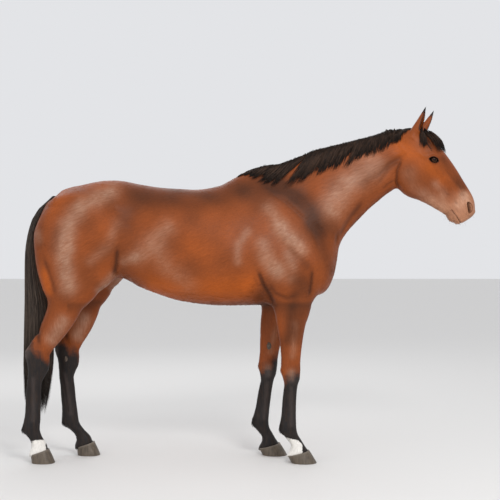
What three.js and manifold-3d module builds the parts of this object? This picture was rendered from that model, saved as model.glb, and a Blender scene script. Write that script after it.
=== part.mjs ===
// A bay Thoroughbred horse standing square on level ground, at life size.
// Millimetres. +X runs towards the head, +Y to the horse's left, +Z up, and the floor is z = 0.
//
// The flesh is one smooth body: outlines drawn in side view and widths drawn across, blended into
// each other, with the muscles raised on it. It is meshed whole, thinned to a working number of
// triangles and parted with thin cuts. Hooves, ears, eyes, mane, forelock and tail are their own solids.
import * as THREE from "three";
import { LoftGeometry } from "three/addons/geometries/LoftGeometry.js";
import { mergeVertices } from "three/addons/utils/BufferGeometryUtils.js";
import Module from "manifold-3d";

const wasm = await Module();
wasm.setup();

const { clamp, lerp } = THREE.MathUtils;

// ---------------------------------------------------------------- driving sizes

const GAP = 0.4; // clearance between neighbouring solids
const RIGHT = -1;
const LEFT = 1;

const FLESH = { cell: 17, triangles: 3700 }; // sampling step of a body, and how many triangles are kept of it
const MANE = { cell: 11, triangles: 560, rear: -38, front: 924, left: 24, thick: 15, crestThick: 36 };
const FORELOCK = { cell: 9, triangles: 190, thick: 31, tipThick: 6, thins: [60, 165], half: 50, depth: 45 };
const SIDE_LOCK = { thick: 11, half: 76, depth: 92, along: [-22, 70] }; // the part of it before the right ear
const TAIL = { cell: 16, triangles: 320, dockEnd: 1300 };

const FORE_STANCE = { [RIGHT]: 0, [LEFT]: -158 }; // how far each fore hoof stands from the leading one
const HIND_STANCE = { [RIGHT]: 0, [LEFT]: 222 }; // and each hind hoof from the trailing one
const HOOF_Y = 118; // each hoof's middle from the middle plane

// Toe, heel and half width on the floor and at the coronet, and how high the coronet is at heel and toe.
const FORE_HOOF = {
  toe: 386, heel: 243, half: 64, coronetToe: 343, coronetHeel: 222, coronetHalf: 48, rise: [37, 69],
};
const HIND_HOOF = {
  toe: -1078, heel: -1208, half: 59, coronetToe: -1113, coronetHeel: -1213, coronetHalf: 45, rise: [43, 77],
};

const EYE = { x: 1045, y: 84, z: 1694, radius: 23 };
const EARS = {
  right: { base: [940, -54, 1850], tip: [1003, -66, 1992], turn: -0.6 },
  left: { base: [981, 52, 1846], tip: [1069, 68, 1985], turn: 0.3 },
};

// ---------------------------------------------------------------- curves and blends

/** A smooth curve through [t, value] pairs, kept as a table so that it is quick to read. */
class Curve {
  constructor(points, step = 4) {
    this.start = points[0][0];
    this.step = step;
    const slopes = points.map((_, i) => {
      const [a, b] = [points[Math.max(i - 1, 0)], points[Math.min(i + 1, points.length - 1)]];
      return (b[1] - a[1]) / (b[0] - a[0]);
    });
    this.values = [];
    let i = 0;
    for (let t = this.start; t <= points.at(-1)[0] + step; t += step) {
      while (i < points.length - 2 && t > points[i + 1][0]) i++;
      const [[t0, v0], [t1, v1]] = [points[i], points[i + 1]];
      const span = t1 - t0;
      const s = Math.min((t - t0) / span, 1);
      const h = s * s * (3 - 2 * s);
      const bend = slopes[i] * s * (1 - s) ** 2 - slopes[i + 1] * s * s * (1 - s);
      this.values.push(v0 * (1 - h) + v1 * h + span * bend);
    }
  }

  at(t) {
    const f = clamp((t - this.start) / this.step, 0, this.values.length - 1.001);
    const i = Math.floor(f);
    return this.values[i] + (this.values[i + 1] - this.values[i]) * (f - i);
  }

  slope(t) {
    return (this.at(t + this.step) - this.at(t - this.step)) / (2 * this.step);
  }
}

/** The lesser of a and b, with a rounding a quarter of `reach` deep where they are equal. */
const blend = (a, b, reach) => {
  const h = Math.max(1.5 * reach - Math.abs(a - b), 0) / (1.5 * reach);
  return Math.min(a, b) - (h ** 3 * reach) / 4;
};

/** The gap between a point and a line drawn through `path`, both in side view. */
const toPath = (path, x, z) => {
  let nearest = Infinity;
  for (let i = 0; i < Math.max(path.length - 1, 1); i++) {
    const [ax, az] = path[i];
    const [bx, bz] = path[i + 1] ?? path[i];
    const length = (bx - ax) ** 2 + (bz - az) ** 2;
    const s = length ? clamp(((x - ax) * (bx - ax) + (z - az) * (bz - az)) / length, 0, 1) : 0;
    nearest = Math.min(nearest, Math.hypot(x - ax - s * (bx - ax), z - az - s * (bz - az)));
  }
  return nearest;
};

/**
 * A body drawn as in two views: `upper` and `lower` are its outlines along an axis in side view and
 * `width` is its half width across. `middle` is how far its centre stands from y = 0, `egg` is how
 * much wider it is below than above, `power` squares its section, and `caps` are how far it runs on
 * past each end of its span.
 */
class Form {
  constructor({ span, caps, upper, lower, width, ...rest }) {
    const { origin = [0, 0], axis = [1, 0], middle = [[0, 0], [1, 0]], egg = [[0, 0], [1, 0]] } = rest;
    const { power = 2, side = 1, shift = null, about = 0 } = rest;
    const length = Math.hypot(...axis);
    Object.assign(this, { origin, axis: axis.map((c) => c / length), span, caps, power, side, shift, about });
    [this.upper, this.lower, this.width] = [upper, lower, width].map((points) => new Curve(points));
    [this.middle, this.egg] = [middle, egg].map((points) => new Curve(points));
  }

  /** Where a point of the side view is along the axis and above it. */
  local(x, z) {
    const [dx, dz] = [x - this.origin[0], z - this.origin[1]];
    return [dx * this.axis[0] + dz * this.axis[1], dz * this.axis[0] - dx * this.axis[1]];
  }

  distance(x, y, z) {
    const [along, above] = this.local(this.shift ? x - this.shift(z) : x, z);
    const t = clamp(along, ...this.span);
    const beyond = along - t;
    const cap = this.caps[beyond < 0 ? 0 : 1];
    const [top, bottom] = [this.upper.at(t), this.lower.at(t)];
    const [deep, wide] = [(top - bottom) / 2, this.width.at(t)];
    const h = above - (top + bottom) / 2;
    const across = y - this.side * this.middle.at(t);
    const u = h / deep;
    const v = across / (wide * (1 - this.egg.at(t) * clamp(u, -1, 1)));
    const flat = (Math.abs(u) ** this.power + Math.abs(v) ** this.power) ** (1 / this.power);
    const ratio = Math.max(Math.hypot(flat, beyond / cap), 1e-3);
    const reach = Math.max(Math.hypot(h, across, beyond), 1e-3);
    const [cu, cv] = [h / reach, across / reach];
    const outline = cu > 0 ? this.upper.slope(t) : -this.lower.slope(t);
    const swell = outline * Math.abs(cu) + this.width.slope(t) * cv * cv;
    const within = clamp(1 - Math.abs(beyond) / cap, 0, 1);
    return (reach * (1 - 1 / ratio)) / Math.hypot(1, swell * within);
  }
}

// ---------------------------------------------------------------- the body's forms

const trunk = new Form({
  span: [-1100, 400],
  caps: [75, 90],
  upper: [
    [-1100, 1478], [-1050, 1530], [-930, 1560], [-842, 1580], [-770, 1586], [-700, 1581], [-614, 1564],
    [-500, 1546], [-386, 1538], [-272, 1535], [-158, 1557], [-101, 1584], [-44, 1612], [0, 1622],
    [60, 1618], [130, 1585], [230, 1500], [330, 1370], [400, 1280],
  ],
  lower: [
    [-1100, 1180], [-1000, 1080], [-850, 1040], [-760, 1030], [-700, 1024], [-614, 978], [-500, 933],
    [-386, 899], [-215, 875], [-101, 872], [13, 874], [155, 878], [280, 890], [350, 905], [400, 935],
  ],
  width: [
    [-1100, 120], [-1000, 190], [-850, 245], [-750, 256], [-600, 255], [-450, 272], [-250, 286],
    [-100, 282], [50, 244], [200, 205], [330, 186], [400, 160],
  ],
  egg: [[-1100, 0.1], [-800, 0.12], [-500, 0.05], [-250, 0.12], [-50, 0.36], [100, 0.42], [400, 0.2]],
  power: 2.15,
});

const neck = new Form({
  origin: [150, 1330],
  axis: [730, 430],
  span: [-120, 835],
  caps: [100, 30],
  upper: [
    [-120, 225], [-44, 252], [35, 277], [91, 291], [150, 283], [202, 272], [318, 250], [438, 228],
    [552, 195], [666, 163], [779, 131], [835, 112],
  ],
  lower: [
    [-120, -400], [0, -390], [123, -360], [193, -323], [246, -289], [302, -262], [362, -239],
    [441, -216], [521, -195], [599, -182], [637, -176], [686, -172], [775, -152], [835, -120],
  ],
  width: [
    [-120, 190], [0, 186], [120, 168], [250, 138], [400, 108], [550, 90], [700, 82], [775, 82], [835, 72],
  ],
  egg: [[-120, 0.35], [250, 0.45], [500, 0.35], [775, 0.1]],
});

const head = new Form({
  origin: [930, 1800],
  axis: [0.543, -0.84],
  span: [-62, 520],
  caps: [18, 27],
  upper: [
    [-62, 38], [-25, 77], [30, 104], [91, 122], [155, 130], [252, 136], [360, 134], [414, 133],
    [452, 129], [487, 118], [520, 100],
  ],
  lower: [
    [-62, -60], [-21, -85], [21, -118], [51, -142], [90, -168], [129, -190], [169, -202], [197, -200],
    [232, -189], [263, -171], [303, -140], [362, -105], [422, -76], [455, -60], [492, -60], [520, -42],
  ],
  width: [
    [-62, 60], [-25, 78], [30, 93], [91, 101], [150, 102], [200, 93], [252, 80], [300, 69], [340, 59],
    [380, 51], [414, 47], [440, 49], [470, 56], [500, 57], [520, 49],
  ],
  egg: [[-62, 0.0], [91, -0.08], [150, -0.1], [252, 0.05], [360, 0.05], [520, -0.08]],
  power: 2.5,
});

/** How far a leg leans to its own hoof's place: none at the top, all of it at the floor. */
const lean = (stance, points) => {
  const share = new Curve(points);
  return (z) => stance * share.at(z);
};

/** An outline of an upright form: its front is its lower outline, so x is counted backwards. */
const flipped = (points) => points.map(([t, x]) => [t, -x]);

const foreLeg = (side) =>
  new Form({
    axis: [0, 1],
    span: [30, 1430],
    caps: [20, 90],
    side,
    about: 180,
    shift: lean(FORE_STANCE[side], [
      [0, 1], [100, 1], [200, 0.96], [315, 0.88], [430, 0.82], [560, 0.76], [690, 0.66], [830, 0.46],
      [960, 0.2], [1100, 0],
    ]),
    lower: flipped([
      [30, 360], [50, 350], [78, 333], [94, 322], [128, 301], [156, 284], [180, 277], [212, 274],
      [300, 273], [390, 277], [435, 283], [469, 293], [520, 297], [563, 297], [631, 303], [714, 314],
      [776, 327], [820, 343], [860, 353], [900, 358], [960, 378], [1040, 415], [1110, 432], [1200, 420],
      [1300, 340], [1430, 230],
    ]),
    upper: flipped([
      [30, 218], [50, 222], [70, 234], [94, 240], [110, 236], [128, 223], [156, 197], [178, 176],
      [212, 177], [267, 186], [351, 192], [400, 198], [440, 201], [480, 192], [512, 181], [545, 184],
      [600, 184], [686, 175], [753, 163], [826, 152], [882, 141], [940, 118], [1005, 82], [1077, 30],
      [1200, -30], [1300, -50], [1430, -30],
    ]),
    width: [
      [30, 42], [60, 44], [90, 40], [125, 31], [160, 33], [200, 37], [235, 33], [290, 25], [380, 26],
      [430, 36], [490, 46], [530, 45], [580, 39], [650, 43], [740, 53], [820, 60], [900, 68],
      [1000, 80], [1150, 92], [1300, 78], [1430, 45],
    ],
    middle: [[30, 118], [500, 120], [900, 126], [1100, 118], [1430, 70]],
    power: 2.1,
  });

const hindLeg = (side) =>
  new Form({
    axis: [0, 1],
    span: [30, 1430],
    caps: [20, 80],
    side,
    about: -1000,
    shift: lean(HIND_STANCE[side], [
      [0, 1], [110, 0.96], [200, 0.82], [315, 0.73], [400, 0.68], [490, 0.6], [600, 0.57], [700, 0.47],
      [800, 0.36], [900, 0.25], [1000, 0.12], [1150, 0],
    ]),
    lower: flipped([
      [30, -1095], [50, -1105], [78, -1116], [111, -1127], [145, -1149], [184, -1161], [239, -1158],
      [351, -1155], [446, -1149], [480, -1133], [519, -1112], [563, -1106], [603, -1103], [642, -1077],
      [686, -1038], [742, -993], [809, -948], [854, -922], [882, -892], [921, -853], [960, -822],
      [999, -775], [1050, -735], [1150, -705], [1300, -715], [1430, -770],
    ]),
    upper: flipped([
      [30, -1222], [55, -1224], [75, -1217], [94, -1211], [122, -1216], [150, -1235], [176, -1264],
      [212, -1259], [267, -1249], [351, -1244], [435, -1238], [491, -1231], [547, -1234], [591, -1245],
      [622, -1246], [653, -1226], [709, -1188], [787, -1149], [843, -1127], [882, -1117], [921, -1121],
      [966, -1142], [1022, -1160], [1089, -1177], [1161, -1188], [1245, -1195], [1300, -1190],
      [1373, -1158], [1430, -1115],
    ]),
    width: [
      [30, 41], [60, 43], [90, 38], [125, 31], [160, 34], [200, 38], [240, 34], [300, 27], [400, 28],
      [470, 34], [540, 42], [600, 41], [650, 38], [720, 46], [800, 58], [880, 70], [960, 86],
      [1050, 104], [1180, 128], [1300, 136], [1430, 110],
    ],
    middle: [[30, 118], [500, 120], [700, 130], [900, 142], [1050, 142], [1200, 132], [1430, 110]],
    power: 2.15,
  });

const legs = [RIGHT, LEFT].flatMap((side) => [foreLeg(side), hindLeg(side)]);

// ---------------------------------------------------------------- muscles raised on the forms

// Swellings (height above 0) and furrows (below 0) along lines of the side view, on both flanks unless one
// is named.
const reliefs = [
  // shoulder and arm
  { path: [[95, 1420], [290, 1190]], spread: 42, height: 9 },
  { path: [[130, 1490], [430, 1245]], spread: 38, height: -5 },
  { path: [[131, 1510], [215, 1449], [311, 1359]], spread: 13, height: -3.5 },
  { path: [[376, 1334], [425, 1288], [452, 1240]], spread: 12, height: -4 },
  { path: [[170, 1240], [250, 1165], [320, 1120]], spread: 20, height: -5 },
  { path: [[20, 1330], [170, 1040]], spread: 75, height: 13 },
  { path: [[400, 1110]], spread: 50, height: 9 },
  { path: [[357, 1085], [352, 1010], [340, 930]], spread: 10, height: -9 },
  { path: [[57, 1077], [85, 1005], [124, 938], [147, 885]], spread: 12, height: -11 },
  { path: [[113, 1010], [152, 949], [219, 921], [275, 943]], spread: 12, height: -6 },
  { path: [[300, 900], [265, 690]], spread: 30, height: 5 },
  // barrel
  { path: [[-30, 1270]], spread: 65, height: -6 },
  { path: [[-603, 1440], [-670, 1210]], spread: 62, height: -12 },
  { path: [[-491, 1329], [-603, 1150], [-680, 1120]], spread: 42, height: 7 },
  // haunch
  { path: [[-735, 1440]], spread: 42, height: 13 },
  { path: [[-900, 1440]], spread: 105, height: 11 },
  { path: [[-1000, 1330], [-990, 1100]], spread: 48, height: 8 },
  { path: [[-1125, 1150], [-1075, 1010], [-1062, 935]], spread: 15, height: -7 },
  { path: [[-815, 1020]], spread: 42, height: 10 },
  { path: [[-714, 1200], [-724, 1120], [-741, 1045]], spread: 12, height: -10 },
  { path: [[-1080, 745]], spread: 36, height: 6, side: RIGHT },
  { path: [[-970, 745]], spread: 36, height: 6, side: LEFT },
  { path: [[-1168, 760], [-1160, 650]], spread: 15, height: -9, side: RIGHT },
  { path: [[-1070, 760], [-1040, 650]], spread: 15, height: -9, side: LEFT },
  // neck
  { path: [[878, 1722], [800, 1674], [722, 1596]], spread: 12, height: -6 },
  { path: [[846, 1778], [826, 1742]], spread: 22, height: 6 },
  { path: [[651, 1462], [575, 1370], [510, 1256]], spread: 16, height: -7 },
  { path: [[640, 1580], [500, 1480]], spread: 85, height: 8 },
  { path: [[320, 1520]], spread: 70, height: -9 },
  // head
  { path: [[930, 1610], [955, 1545]], spread: 60, height: 8 },
  { path: [[866, 1692], [842, 1636], [842, 1572], [866, 1524]], spread: 9, height: -8 },
  { path: [[888, 1690], [866, 1636], [868, 1576], [892, 1534]], spread: 13, height: 4 },
  { path: [[1000, 1752]], spread: 22, height: -5 },
  { path: [[1014, 1722], [1043, 1731], [1070, 1716]], spread: 11, height: 5 },
  { path: [[1012, 1702], [955, 1738]], spread: 12, height: 5 },
  { path: [[1070, 1650], [1128, 1566]], spread: 12, height: 6 },
  { path: [[1112, 1650], [1165, 1584], [1222, 1526]], spread: 10, height: -4 },
  { path: [[1040, 1600], [1110, 1490]], spread: 30, height: -5 },
  { path: [[1196, 1478], [1165, 1440]], spread: 20, height: 3 },
  { path: [[1215, 1500]], spread: 16, height: -4 },
];

const RELIEF_REACH = 2.5; // how many spreads from its line a relief is felt
for (const mark of reliefs) {
  const points = mark.path.map((p) => new THREE.Vector2(...p));
  mark.box = new THREE.Box2().setFromPoints(points).expandByScalar(RELIEF_REACH * mark.spread);
}

const reliefAt = (x, y, z) => {
  const flank = Math.min(Math.abs(y) / 30, 1); // nothing is raised on the middle plane
  let height = 0;
  for (const { path, spread, height: most, side = 0, box } of reliefs) {
    if (x < box.min.x || x > box.max.x || z < box.min.y || z > box.max.y || side * y < 0) continue;
    const near = toPath(path, x, z) / spread;
    if (near > RELIEF_REACH) continue;
    // A line is at its full height only some way from its ends.
    const fromEnd = Math.min(...[path[0], path.at(-1)].map(([px, pz]) => Math.hypot(x - px, z - pz)));
    const full = path.length > 1 ? clamp(0.25 + fromEnd / (3 * spread), 0, 1) : 1;
    height += most * full * Math.exp(-near * near);
  }
  return height * flank;
};

const BLEND = { leg: 70, neck: 110, head: 40 }; // how broadly each form runs into the rest
const FAR = 900; // stands for the distance of a form that is left out because it is far away
const RELIEF_DEPTH = 40; // reliefs are only worked out this near the skin

/** How far a point is outside the skin, in mm; inside it is below 0. */
function flesh(x, y, z) {
  const nearLeg = (leg) => z < 1600 && leg.side * y > -120 && Math.abs(x - leg.about) < 620;
  let d = z > 700 ? trunk.distance(x, y, z) : FAR;
  for (const leg of legs.filter(nearLeg)) d = blend(d, leg.distance(x, y, z), BLEND.leg);
  if (x > -150 && z > 850) d = blend(d, neck.distance(x, y, z), BLEND.neck);
  if (x > 700 && z > 1150) d = blend(d, head.distance(x, y, z), BLEND.head);
  return Math.abs(d) < RELIEF_DEPTH ? d - reliefAt(x, y, z) : d;
}

// ---------------------------------------------------------------- hair, as solids over the skin

const HAIR_ROOT = 14; // how deep in the skin the solids of the hair start, before the flesh is cut from them

const crest = new Curve([
  [-40, 1616], [21, 1648], [119, 1674], [172, 1680], [237, 1701], [322, 1739], [381, 1765], [452, 1779],
  [531, 1798], [628, 1822], [708, 1841], [774, 1861], [839, 1882], [885, 1879], [935, 1863],
]);
const maneDrop = new Curve([
  [-40, 6], [24, 34], [65, 66], [123, 98], [235, 60], [263, 140], [316, 132], [395, 154], [461, 142],
  [511, 125], [536, 94], [585, 135], [660, 108], [684, 72], [701, 110], [787, 106], [862, 82], [882, 31],
  [924, 13],
]);

/** The mane stands up along the crest and hangs down the right of the neck in short, uneven groups. */
function mane(x, y, z) {
  const skin = flesh(x, y, z);
  const drop = crest.at(x) - z;
  const body = clamp((x + 60) / 90, 0.3, 1); // it starts thin on the withers
  const thick = body * lerp(MANE.crestThick, MANE.thick, clamp(drop / 60, 0, 1));
  const overSkin = Math.max(skin - thick, -HAIR_ROOT - skin);
  return Math.max(overSkin, -drop, drop - maneDrop.at(x), y - MANE.left, MANE.rear - x, x - MANE.front);
}

/** The forelock falls from the poll over the forehead, with one lock down in front of the right ear. */
function forelock(x, y, z) {
  const skin = flesh(x, y, z);
  const [along, above] = head.local(x, z);
  const deep = head.upper.at(along) - above; // below the forehead's outline
  const [from, to] = FORELOCK.thins;
  const thick = lerp(FORELOCK.thick, FORELOCK.tipThick, clamp((along - from) / (to - from), 0, 1));
  const half = FORELOCK.half * clamp((to + 13 - along) / 110, 0.1, 1);
  const middle = Math.max(skin - thick, Math.abs(y) - half, deep - FORELOCK.depth, along - to);
  const [start, end] = SIDE_LOCK.along;
  const side = Math.max(skin - SIDE_LOCK.thick, -SIDE_LOCK.half - y, y, deep - SIDE_LOCK.depth, along - end);
  return Math.max(Math.min(middle, side), -HAIR_ROOT - skin, start - along);
}

const tail = new Form({
  axis: [0, 1],
  span: [262, 1462],
  caps: [34, 22],
  lower: flipped([
    [262, -1150], [330, -1132], [450, -1120], [618, -1112], [732, -1122], [903, -1142], [1000, -1168],
    [1131, -1190], [1217, -1200], [1302, -1190], [1371, -1165], [1428, -1130], [1470, -1060],
  ]),
  upper: flipped([
    [262, -1250], [330, -1278], [450, -1279], [618, -1276], [732, -1274], [903, -1270], [1131, -1269],
    [1217, -1263], [1302, -1247], [1371, -1224], [1428, -1186], [1470, -1138],
  ]),
  width: [[262, 32], [330, 55], [450, 66], [618, 70], [903, 66], [1131, 54], [1302, 42], [1470, 30]],
  power: 2.2,
});

// ---------------------------------------------------------------- meshing

// A cube's corners are numbered 0 to 7; its six tetrahedra are all wound the same way.
const TET_CORNERS = [[0, 1, 3, 7], [0, 2, 6, 7], [0, 4, 5, 7], [0, 5, 1, 7], [0, 3, 2, 7], [0, 6, 4, 7]];
// A tetrahedron's corners in order: for one lone corner, and for the two that lie inside (as bits).
const ONE_IN = [[0, 1, 2, 3], [1, 0, 3, 2], [2, 3, 0, 1], [3, 2, 1, 0]];
const TWO_IN = {
  3: [0, 1, 2, 3], 5: [0, 2, 3, 1], 9: [0, 3, 1, 2], 6: [1, 2, 0, 3], 10: [1, 3, 2, 0], 12: [2, 3, 0, 1],
};

/** The surface where `field` is 0 inside a box, by marching tetrahedra. */
function surfaceOf(field, low, high, cell) {
  const count = low.map((c, i) => Math.ceil((high[i] - c) / cell) + 1);
  const [nx, ny] = count;
  const steps = (n) => [n % nx, Math.floor(n / nx) % ny, Math.floor(n / (nx * ny))];
  const place = (n) => steps(n).map((c, axis) => low[axis] + c * cell);
  const values = new Float32Array(count[0] * count[1] * count[2]);
  const block = 4; // a block of cells far from the surface is filled in one go
  const reach = 1.25 * cell * block;
  for (let k = 0; k < count[2]; k += block)
    for (let j = 0; j < ny; j += block)
      for (let i = 0; i < nx; i += block) {
        const centre = [i, j, k].map((c, axis) => low[axis] + (c + block / 2 - 0.5) * cell);
        const far = field(...centre);
        for (let c = k; c < Math.min(k + block, count[2]); c++)
          for (let b = j; b < Math.min(j + block, ny); b++)
            for (let a = i; a < Math.min(i + block, nx); a++) {
              const n = a + b * nx + c * nx * ny;
              values[n] = (Math.abs(far) > reach ? far : field(...place(n))) || 1e-4;
            }
      }

  const positions = [];
  const faces = [];
  const onEdge = new Map();
  const crossing = (a, b) => {
    const key = a < b ? a * values.length + b : b * values.length + a;
    if (!onEdge.has(key)) {
      const s = clamp(values[a] / (values[a] - values[b]), 0.06, 0.94);
      const [p, q] = [place(a), place(b)];
      onEdge.set(key, positions.length);
      positions.push(p.map((c, i) => c + s * (q[i] - c)));
    }
    return onEdge.get(key);
  };
  const offsets = [0, 1, 2, 3, 4, 5, 6, 7].map((c) => (c & 1) + (c & 2 ? nx : 0) + (c & 4 ? nx * ny : 0));
  for (let k = 0; k < count[2] - 1; k++)
    for (let j = 0; j < ny - 1; j++)
      for (let i = 0; i < nx - 1; i++) {
        const base = i + j * nx + k * nx * ny;
        const inside = offsets.reduce((sum, o) => sum + (values[base + o] < 0 ? 1 : 0), 0);
        if (inside === 0 || inside === 8) continue;
        for (const corners of TET_CORNERS) {
          const tet = corners.map((c) => base + offsets[c]);
          const mask = tet.reduce((bits, n, c) => bits | (values[n] < 0 ? 1 << c : 0), 0);
          if (mask === 0 || mask === 15) continue;
          if (TWO_IN[mask]) {
            const [a, b, c, d] = TWO_IN[mask].map((n) => tet[n]);
            const [ac, ad, bd, bc] = [crossing(a, c), crossing(a, d), crossing(b, d), crossing(b, c)];
            faces.push([ac, ad, bd], [ac, bd, bc]);
          } else {
            const single = [1, 2, 4, 8].indexOf(mask);
            const lone = single >= 0 ? single : [14, 13, 11, 7].indexOf(mask);
            const [a, b, c, d] = ONE_IN[lone].map((n) => tet[n]);
            const face = [b, c, d].map((n) => crossing(a, n));
            faces.push(single >= 0 ? face : face.reverse());
          }
        }
      }
  for (let pass = 0; pass < 2; pass++) positions.forEach((p) => settle(field, p, cell / 3));
  return { positions, faces };
}

/** Moves a point along the field's slope onto the surface, by no more than `most`. */
function settle(field, p, most) {
  const value = field(...p);
  const slope = [0, 1, 2].map((i) => {
    const [a, b] = [[...p], [...p]];
    a[i] -= 1;
    b[i] += 1;
    return (field(...b) - field(...a)) / 2;
  });
  const steep = slope.reduce((sum, s) => sum + s * s, 0);
  if (steep < 0.05) return;
  const step = clamp(value / steep, -most, most);
  slope.forEach((s, i) => (p[i] -= s * step));
}

/** Collapses the edges that cost the surface least, until `target` triangles are left. */
function thinned({ positions, faces }, target) {
  const TERMS = 10; // a quadric: xx xy xz x yy yz y zz z 1
  const quadrics = new Float64Array(positions.length * TERMS);
  const around = positions.map(() => []);
  const normal = (face, moved = -1, to = null) => {
    const [p, q, r] = face.map((v) => (v === moved ? to : positions[v]));
    const [ux, uy, uz] = [q[0] - p[0], q[1] - p[1], q[2] - p[2]];
    const [vx, vy, vz] = [r[0] - p[0], r[1] - p[1], r[2] - p[2]];
    return [uy * vz - uz * vy, uz * vx - ux * vz, ux * vy - uy * vx];
  };
  faces.forEach((face, f) => {
    const n = normal(face);
    const area = Math.hypot(...n) || 1e-9;
    const [a, b, c] = n.map((v) => v / area);
    const p = positions[face[0]];
    const d = -(a * p[0] + b * p[1] + c * p[2]);
    const terms = [a * a, a * b, a * c, a * d, b * b, b * c, b * d, c * c, c * d, d * d];
    for (const v of face) {
      around[v].push(f);
      for (let i = 0; i < TERMS; i++) quadrics[v * TERMS + i] += terms[i] * area;
    }
  });

  const q = new Float64Array(TERMS);
  const error = (x, y, z) => {
    const ofX = x * (q[0] * x + 2 * (q[1] * y + q[2] * z + q[3]));
    const ofY = y * (q[4] * y + 2 * (q[5] * z + q[6]));
    return ofX + ofY + z * (q[7] * z + 2 * q[8]) + q[9];
  };
  /** The cheapest place for the edge a-b to close up to, and its cost. */
  const best = (a, b) => {
    for (let i = 0; i < TERMS; i++) q[i] = quadrics[a * TERMS + i] + quadrics[b * TERMS + i];
    const [[ax, ay, az], [bx, by, bz]] = [positions[a], positions[b]];
    const [mx, my, mz] = [(ax + bx) / 2, (ay + by) / 2, (az + bz) / 2];
    const length2 = (ax - bx) ** 2 + (ay - by) ** 2 + (az - bz) ** 2;
    let place = [mx, my, mz];
    let cost = error(mx, my, mz);
    const offer = (x, y, z) => {
      const price = error(x, y, z);
      if (price < cost) [place, cost] = [[x, y, z], price];
    };
    offer(ax, ay, az);
    offer(bx, by, bz);
    const [c0, c1, c2] = [q[4] * q[7] - q[5] * q[5], q[5] * q[2] - q[1] * q[7], q[1] * q[5] - q[4] * q[2]];
    const det = q[0] * c0 + q[1] * c1 + q[2] * c2;
    if (Math.abs(det) > 1e-6 * (q[0] + q[4] + q[7]) ** 3) {
      const x = -(q[3] * c0 + q[6] * c1 + q[8] * c2) / det;
      const y = -(q[3] * c1 + q[6] * (q[0] * q[7] - q[2] * q[2]) + q[8] * (q[1] * q[2] - q[0] * q[5])) / det;
      const z = -(q[3] * c2 + q[6] * (q[1] * q[2] - q[0] * q[5]) + q[8] * (q[0] * q[4] - q[1] * q[1])) / det;
      if ((x - mx) ** 2 + (y - my) ** 2 + (z - mz) ** 2 < 2 * length2) offer(x, y, z);
    }
    return { a, b, place, cost: cost + 0.02 * length2 }; // a long edge costs a little more, against needles
  };

  const heap = new Heap();
  const version = new Uint32Array(positions.length);
  const queue = (a, b) => {
    const entry = best(a, b);
    entry.stamp = version[a] + version[b];
    heap.push(entry);
  };
  const neighbours = (v) => {
    const found = [];
    for (const f of around[v]) for (const w of faces[f]) if (w !== v && !found.includes(w)) found.push(w);
    return found;
  };
  positions.forEach((_, a) => neighbours(a).forEach((b) => a < b && queue(a, b)));
  const turnsOver = (v, gone, place) =>
    around[v].some((f) => {
      if (gone.includes(f)) return false;
      const [before, after] = [normal(faces[f]), normal(faces[f], v, place)];
      const dot = before[0] * after[0] + before[1] * after[1] + before[2] * after[2];
      return dot < 0.3 * Math.hypot(...before) * Math.hypot(...after);
    });
  for (let left = faces.length; left > target && heap.size; ) {
    const { a, b, place, stamp } = heap.pop();
    if (!around[a] || !around[b] || stamp !== version[a] + version[b]) continue;
    const gone = around[a].filter((f) => around[b].includes(f));
    if (gone.length !== 2) continue;
    const beside = neighbours(b);
    if (neighbours(a).filter((v) => beside.includes(v)).length !== 2) continue;
    if (turnsOver(a, gone, place) || turnsOver(b, gone, place)) continue;
    positions[a] = place;
    for (let i = 0; i < TERMS; i++) quadrics[a * TERMS + i] += quadrics[b * TERMS + i];
    for (const f of gone) {
      for (const v of faces[f]) around[v] = around[v].filter((g) => g !== f);
      faces[f] = null;
    }
    for (const f of around[b]) {
      faces[f] = faces[f].map((v) => (v === b ? a : v));
      around[a].push(f);
    }
    around[b] = null;
    left -= 2;
    version[a] += version[b] + 1;
    for (const v of neighbours(a)) queue(a, v);
  }
  return { positions, faces: faces.filter(Boolean) };
}

/** A queue that gives the cheapest entry first. */
class Heap {
  items = [];

  get size() {
    return this.items.length;
  }

  push(item) {
    const { items } = this;
    let i = items.push(item) - 1;
    while (i && items[(i - 1) >> 1].cost > item.cost) {
      items[i] = items[(i - 1) >> 1];
      i = (i - 1) >> 1;
    }
    items[i] = item;
  }

  pop() {
    const { items } = this;
    const first = items[0];
    const item = items.pop();
    if (!items.length) return first;
    let i = 0;
    for (;;) {
      let child = 2 * i + 1;
      if (child >= items.length) break;
      if (child + 1 < items.length && items[child + 1].cost < items[child].cost) child++;
      if (items[child].cost >= item.cost) break;
      items[i] = items[child];
      i = child;
    }
    items[i] = item;
    return first;
  }
}

// ---------------------------------------------------------------- solids

function geometryOf({ positions, faces }) {
  const used = new Map();
  const index = faces.flat().map((v) => {
    if (!used.has(v)) used.set(v, used.size);
    return used.get(v);
  });
  const corners = [...used.keys()].flatMap((v) => positions[v]);
  const geometry = new THREE.BufferGeometry()
    .setAttribute("position", new THREE.Float32BufferAttribute(corners, 3))
    .setIndex(index);
  geometry.userData.closed = true; // its corners are shared already
  return geometry;
}

/** The solid of a closed geometry, grown outwards by `by`. */
function solidOf(geometry, by = 0) {
  const bare = new THREE.BufferGeometry().setAttribute("position", geometry.getAttribute("position").clone());
  if (geometry.index) bare.setIndex(geometry.index);
  const merged = geometry.userData.closed ? bare : mergeVertices(bare, 1e-3);
  const position = merged.getAttribute("position");
  if (by) {
    merged.computeVertexNormals();
    const normal = merged.getAttribute("normal");
    for (let i = 0; i < position.array.length; i++) position.array[i] += by * normal.array[i];
  }
  const triVerts = new Uint32Array(merged.index.array);
  return new wasm.Manifold(new wasm.Mesh({ numProp: 3, vertProperties: position.array, triVerts }));
}

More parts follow.
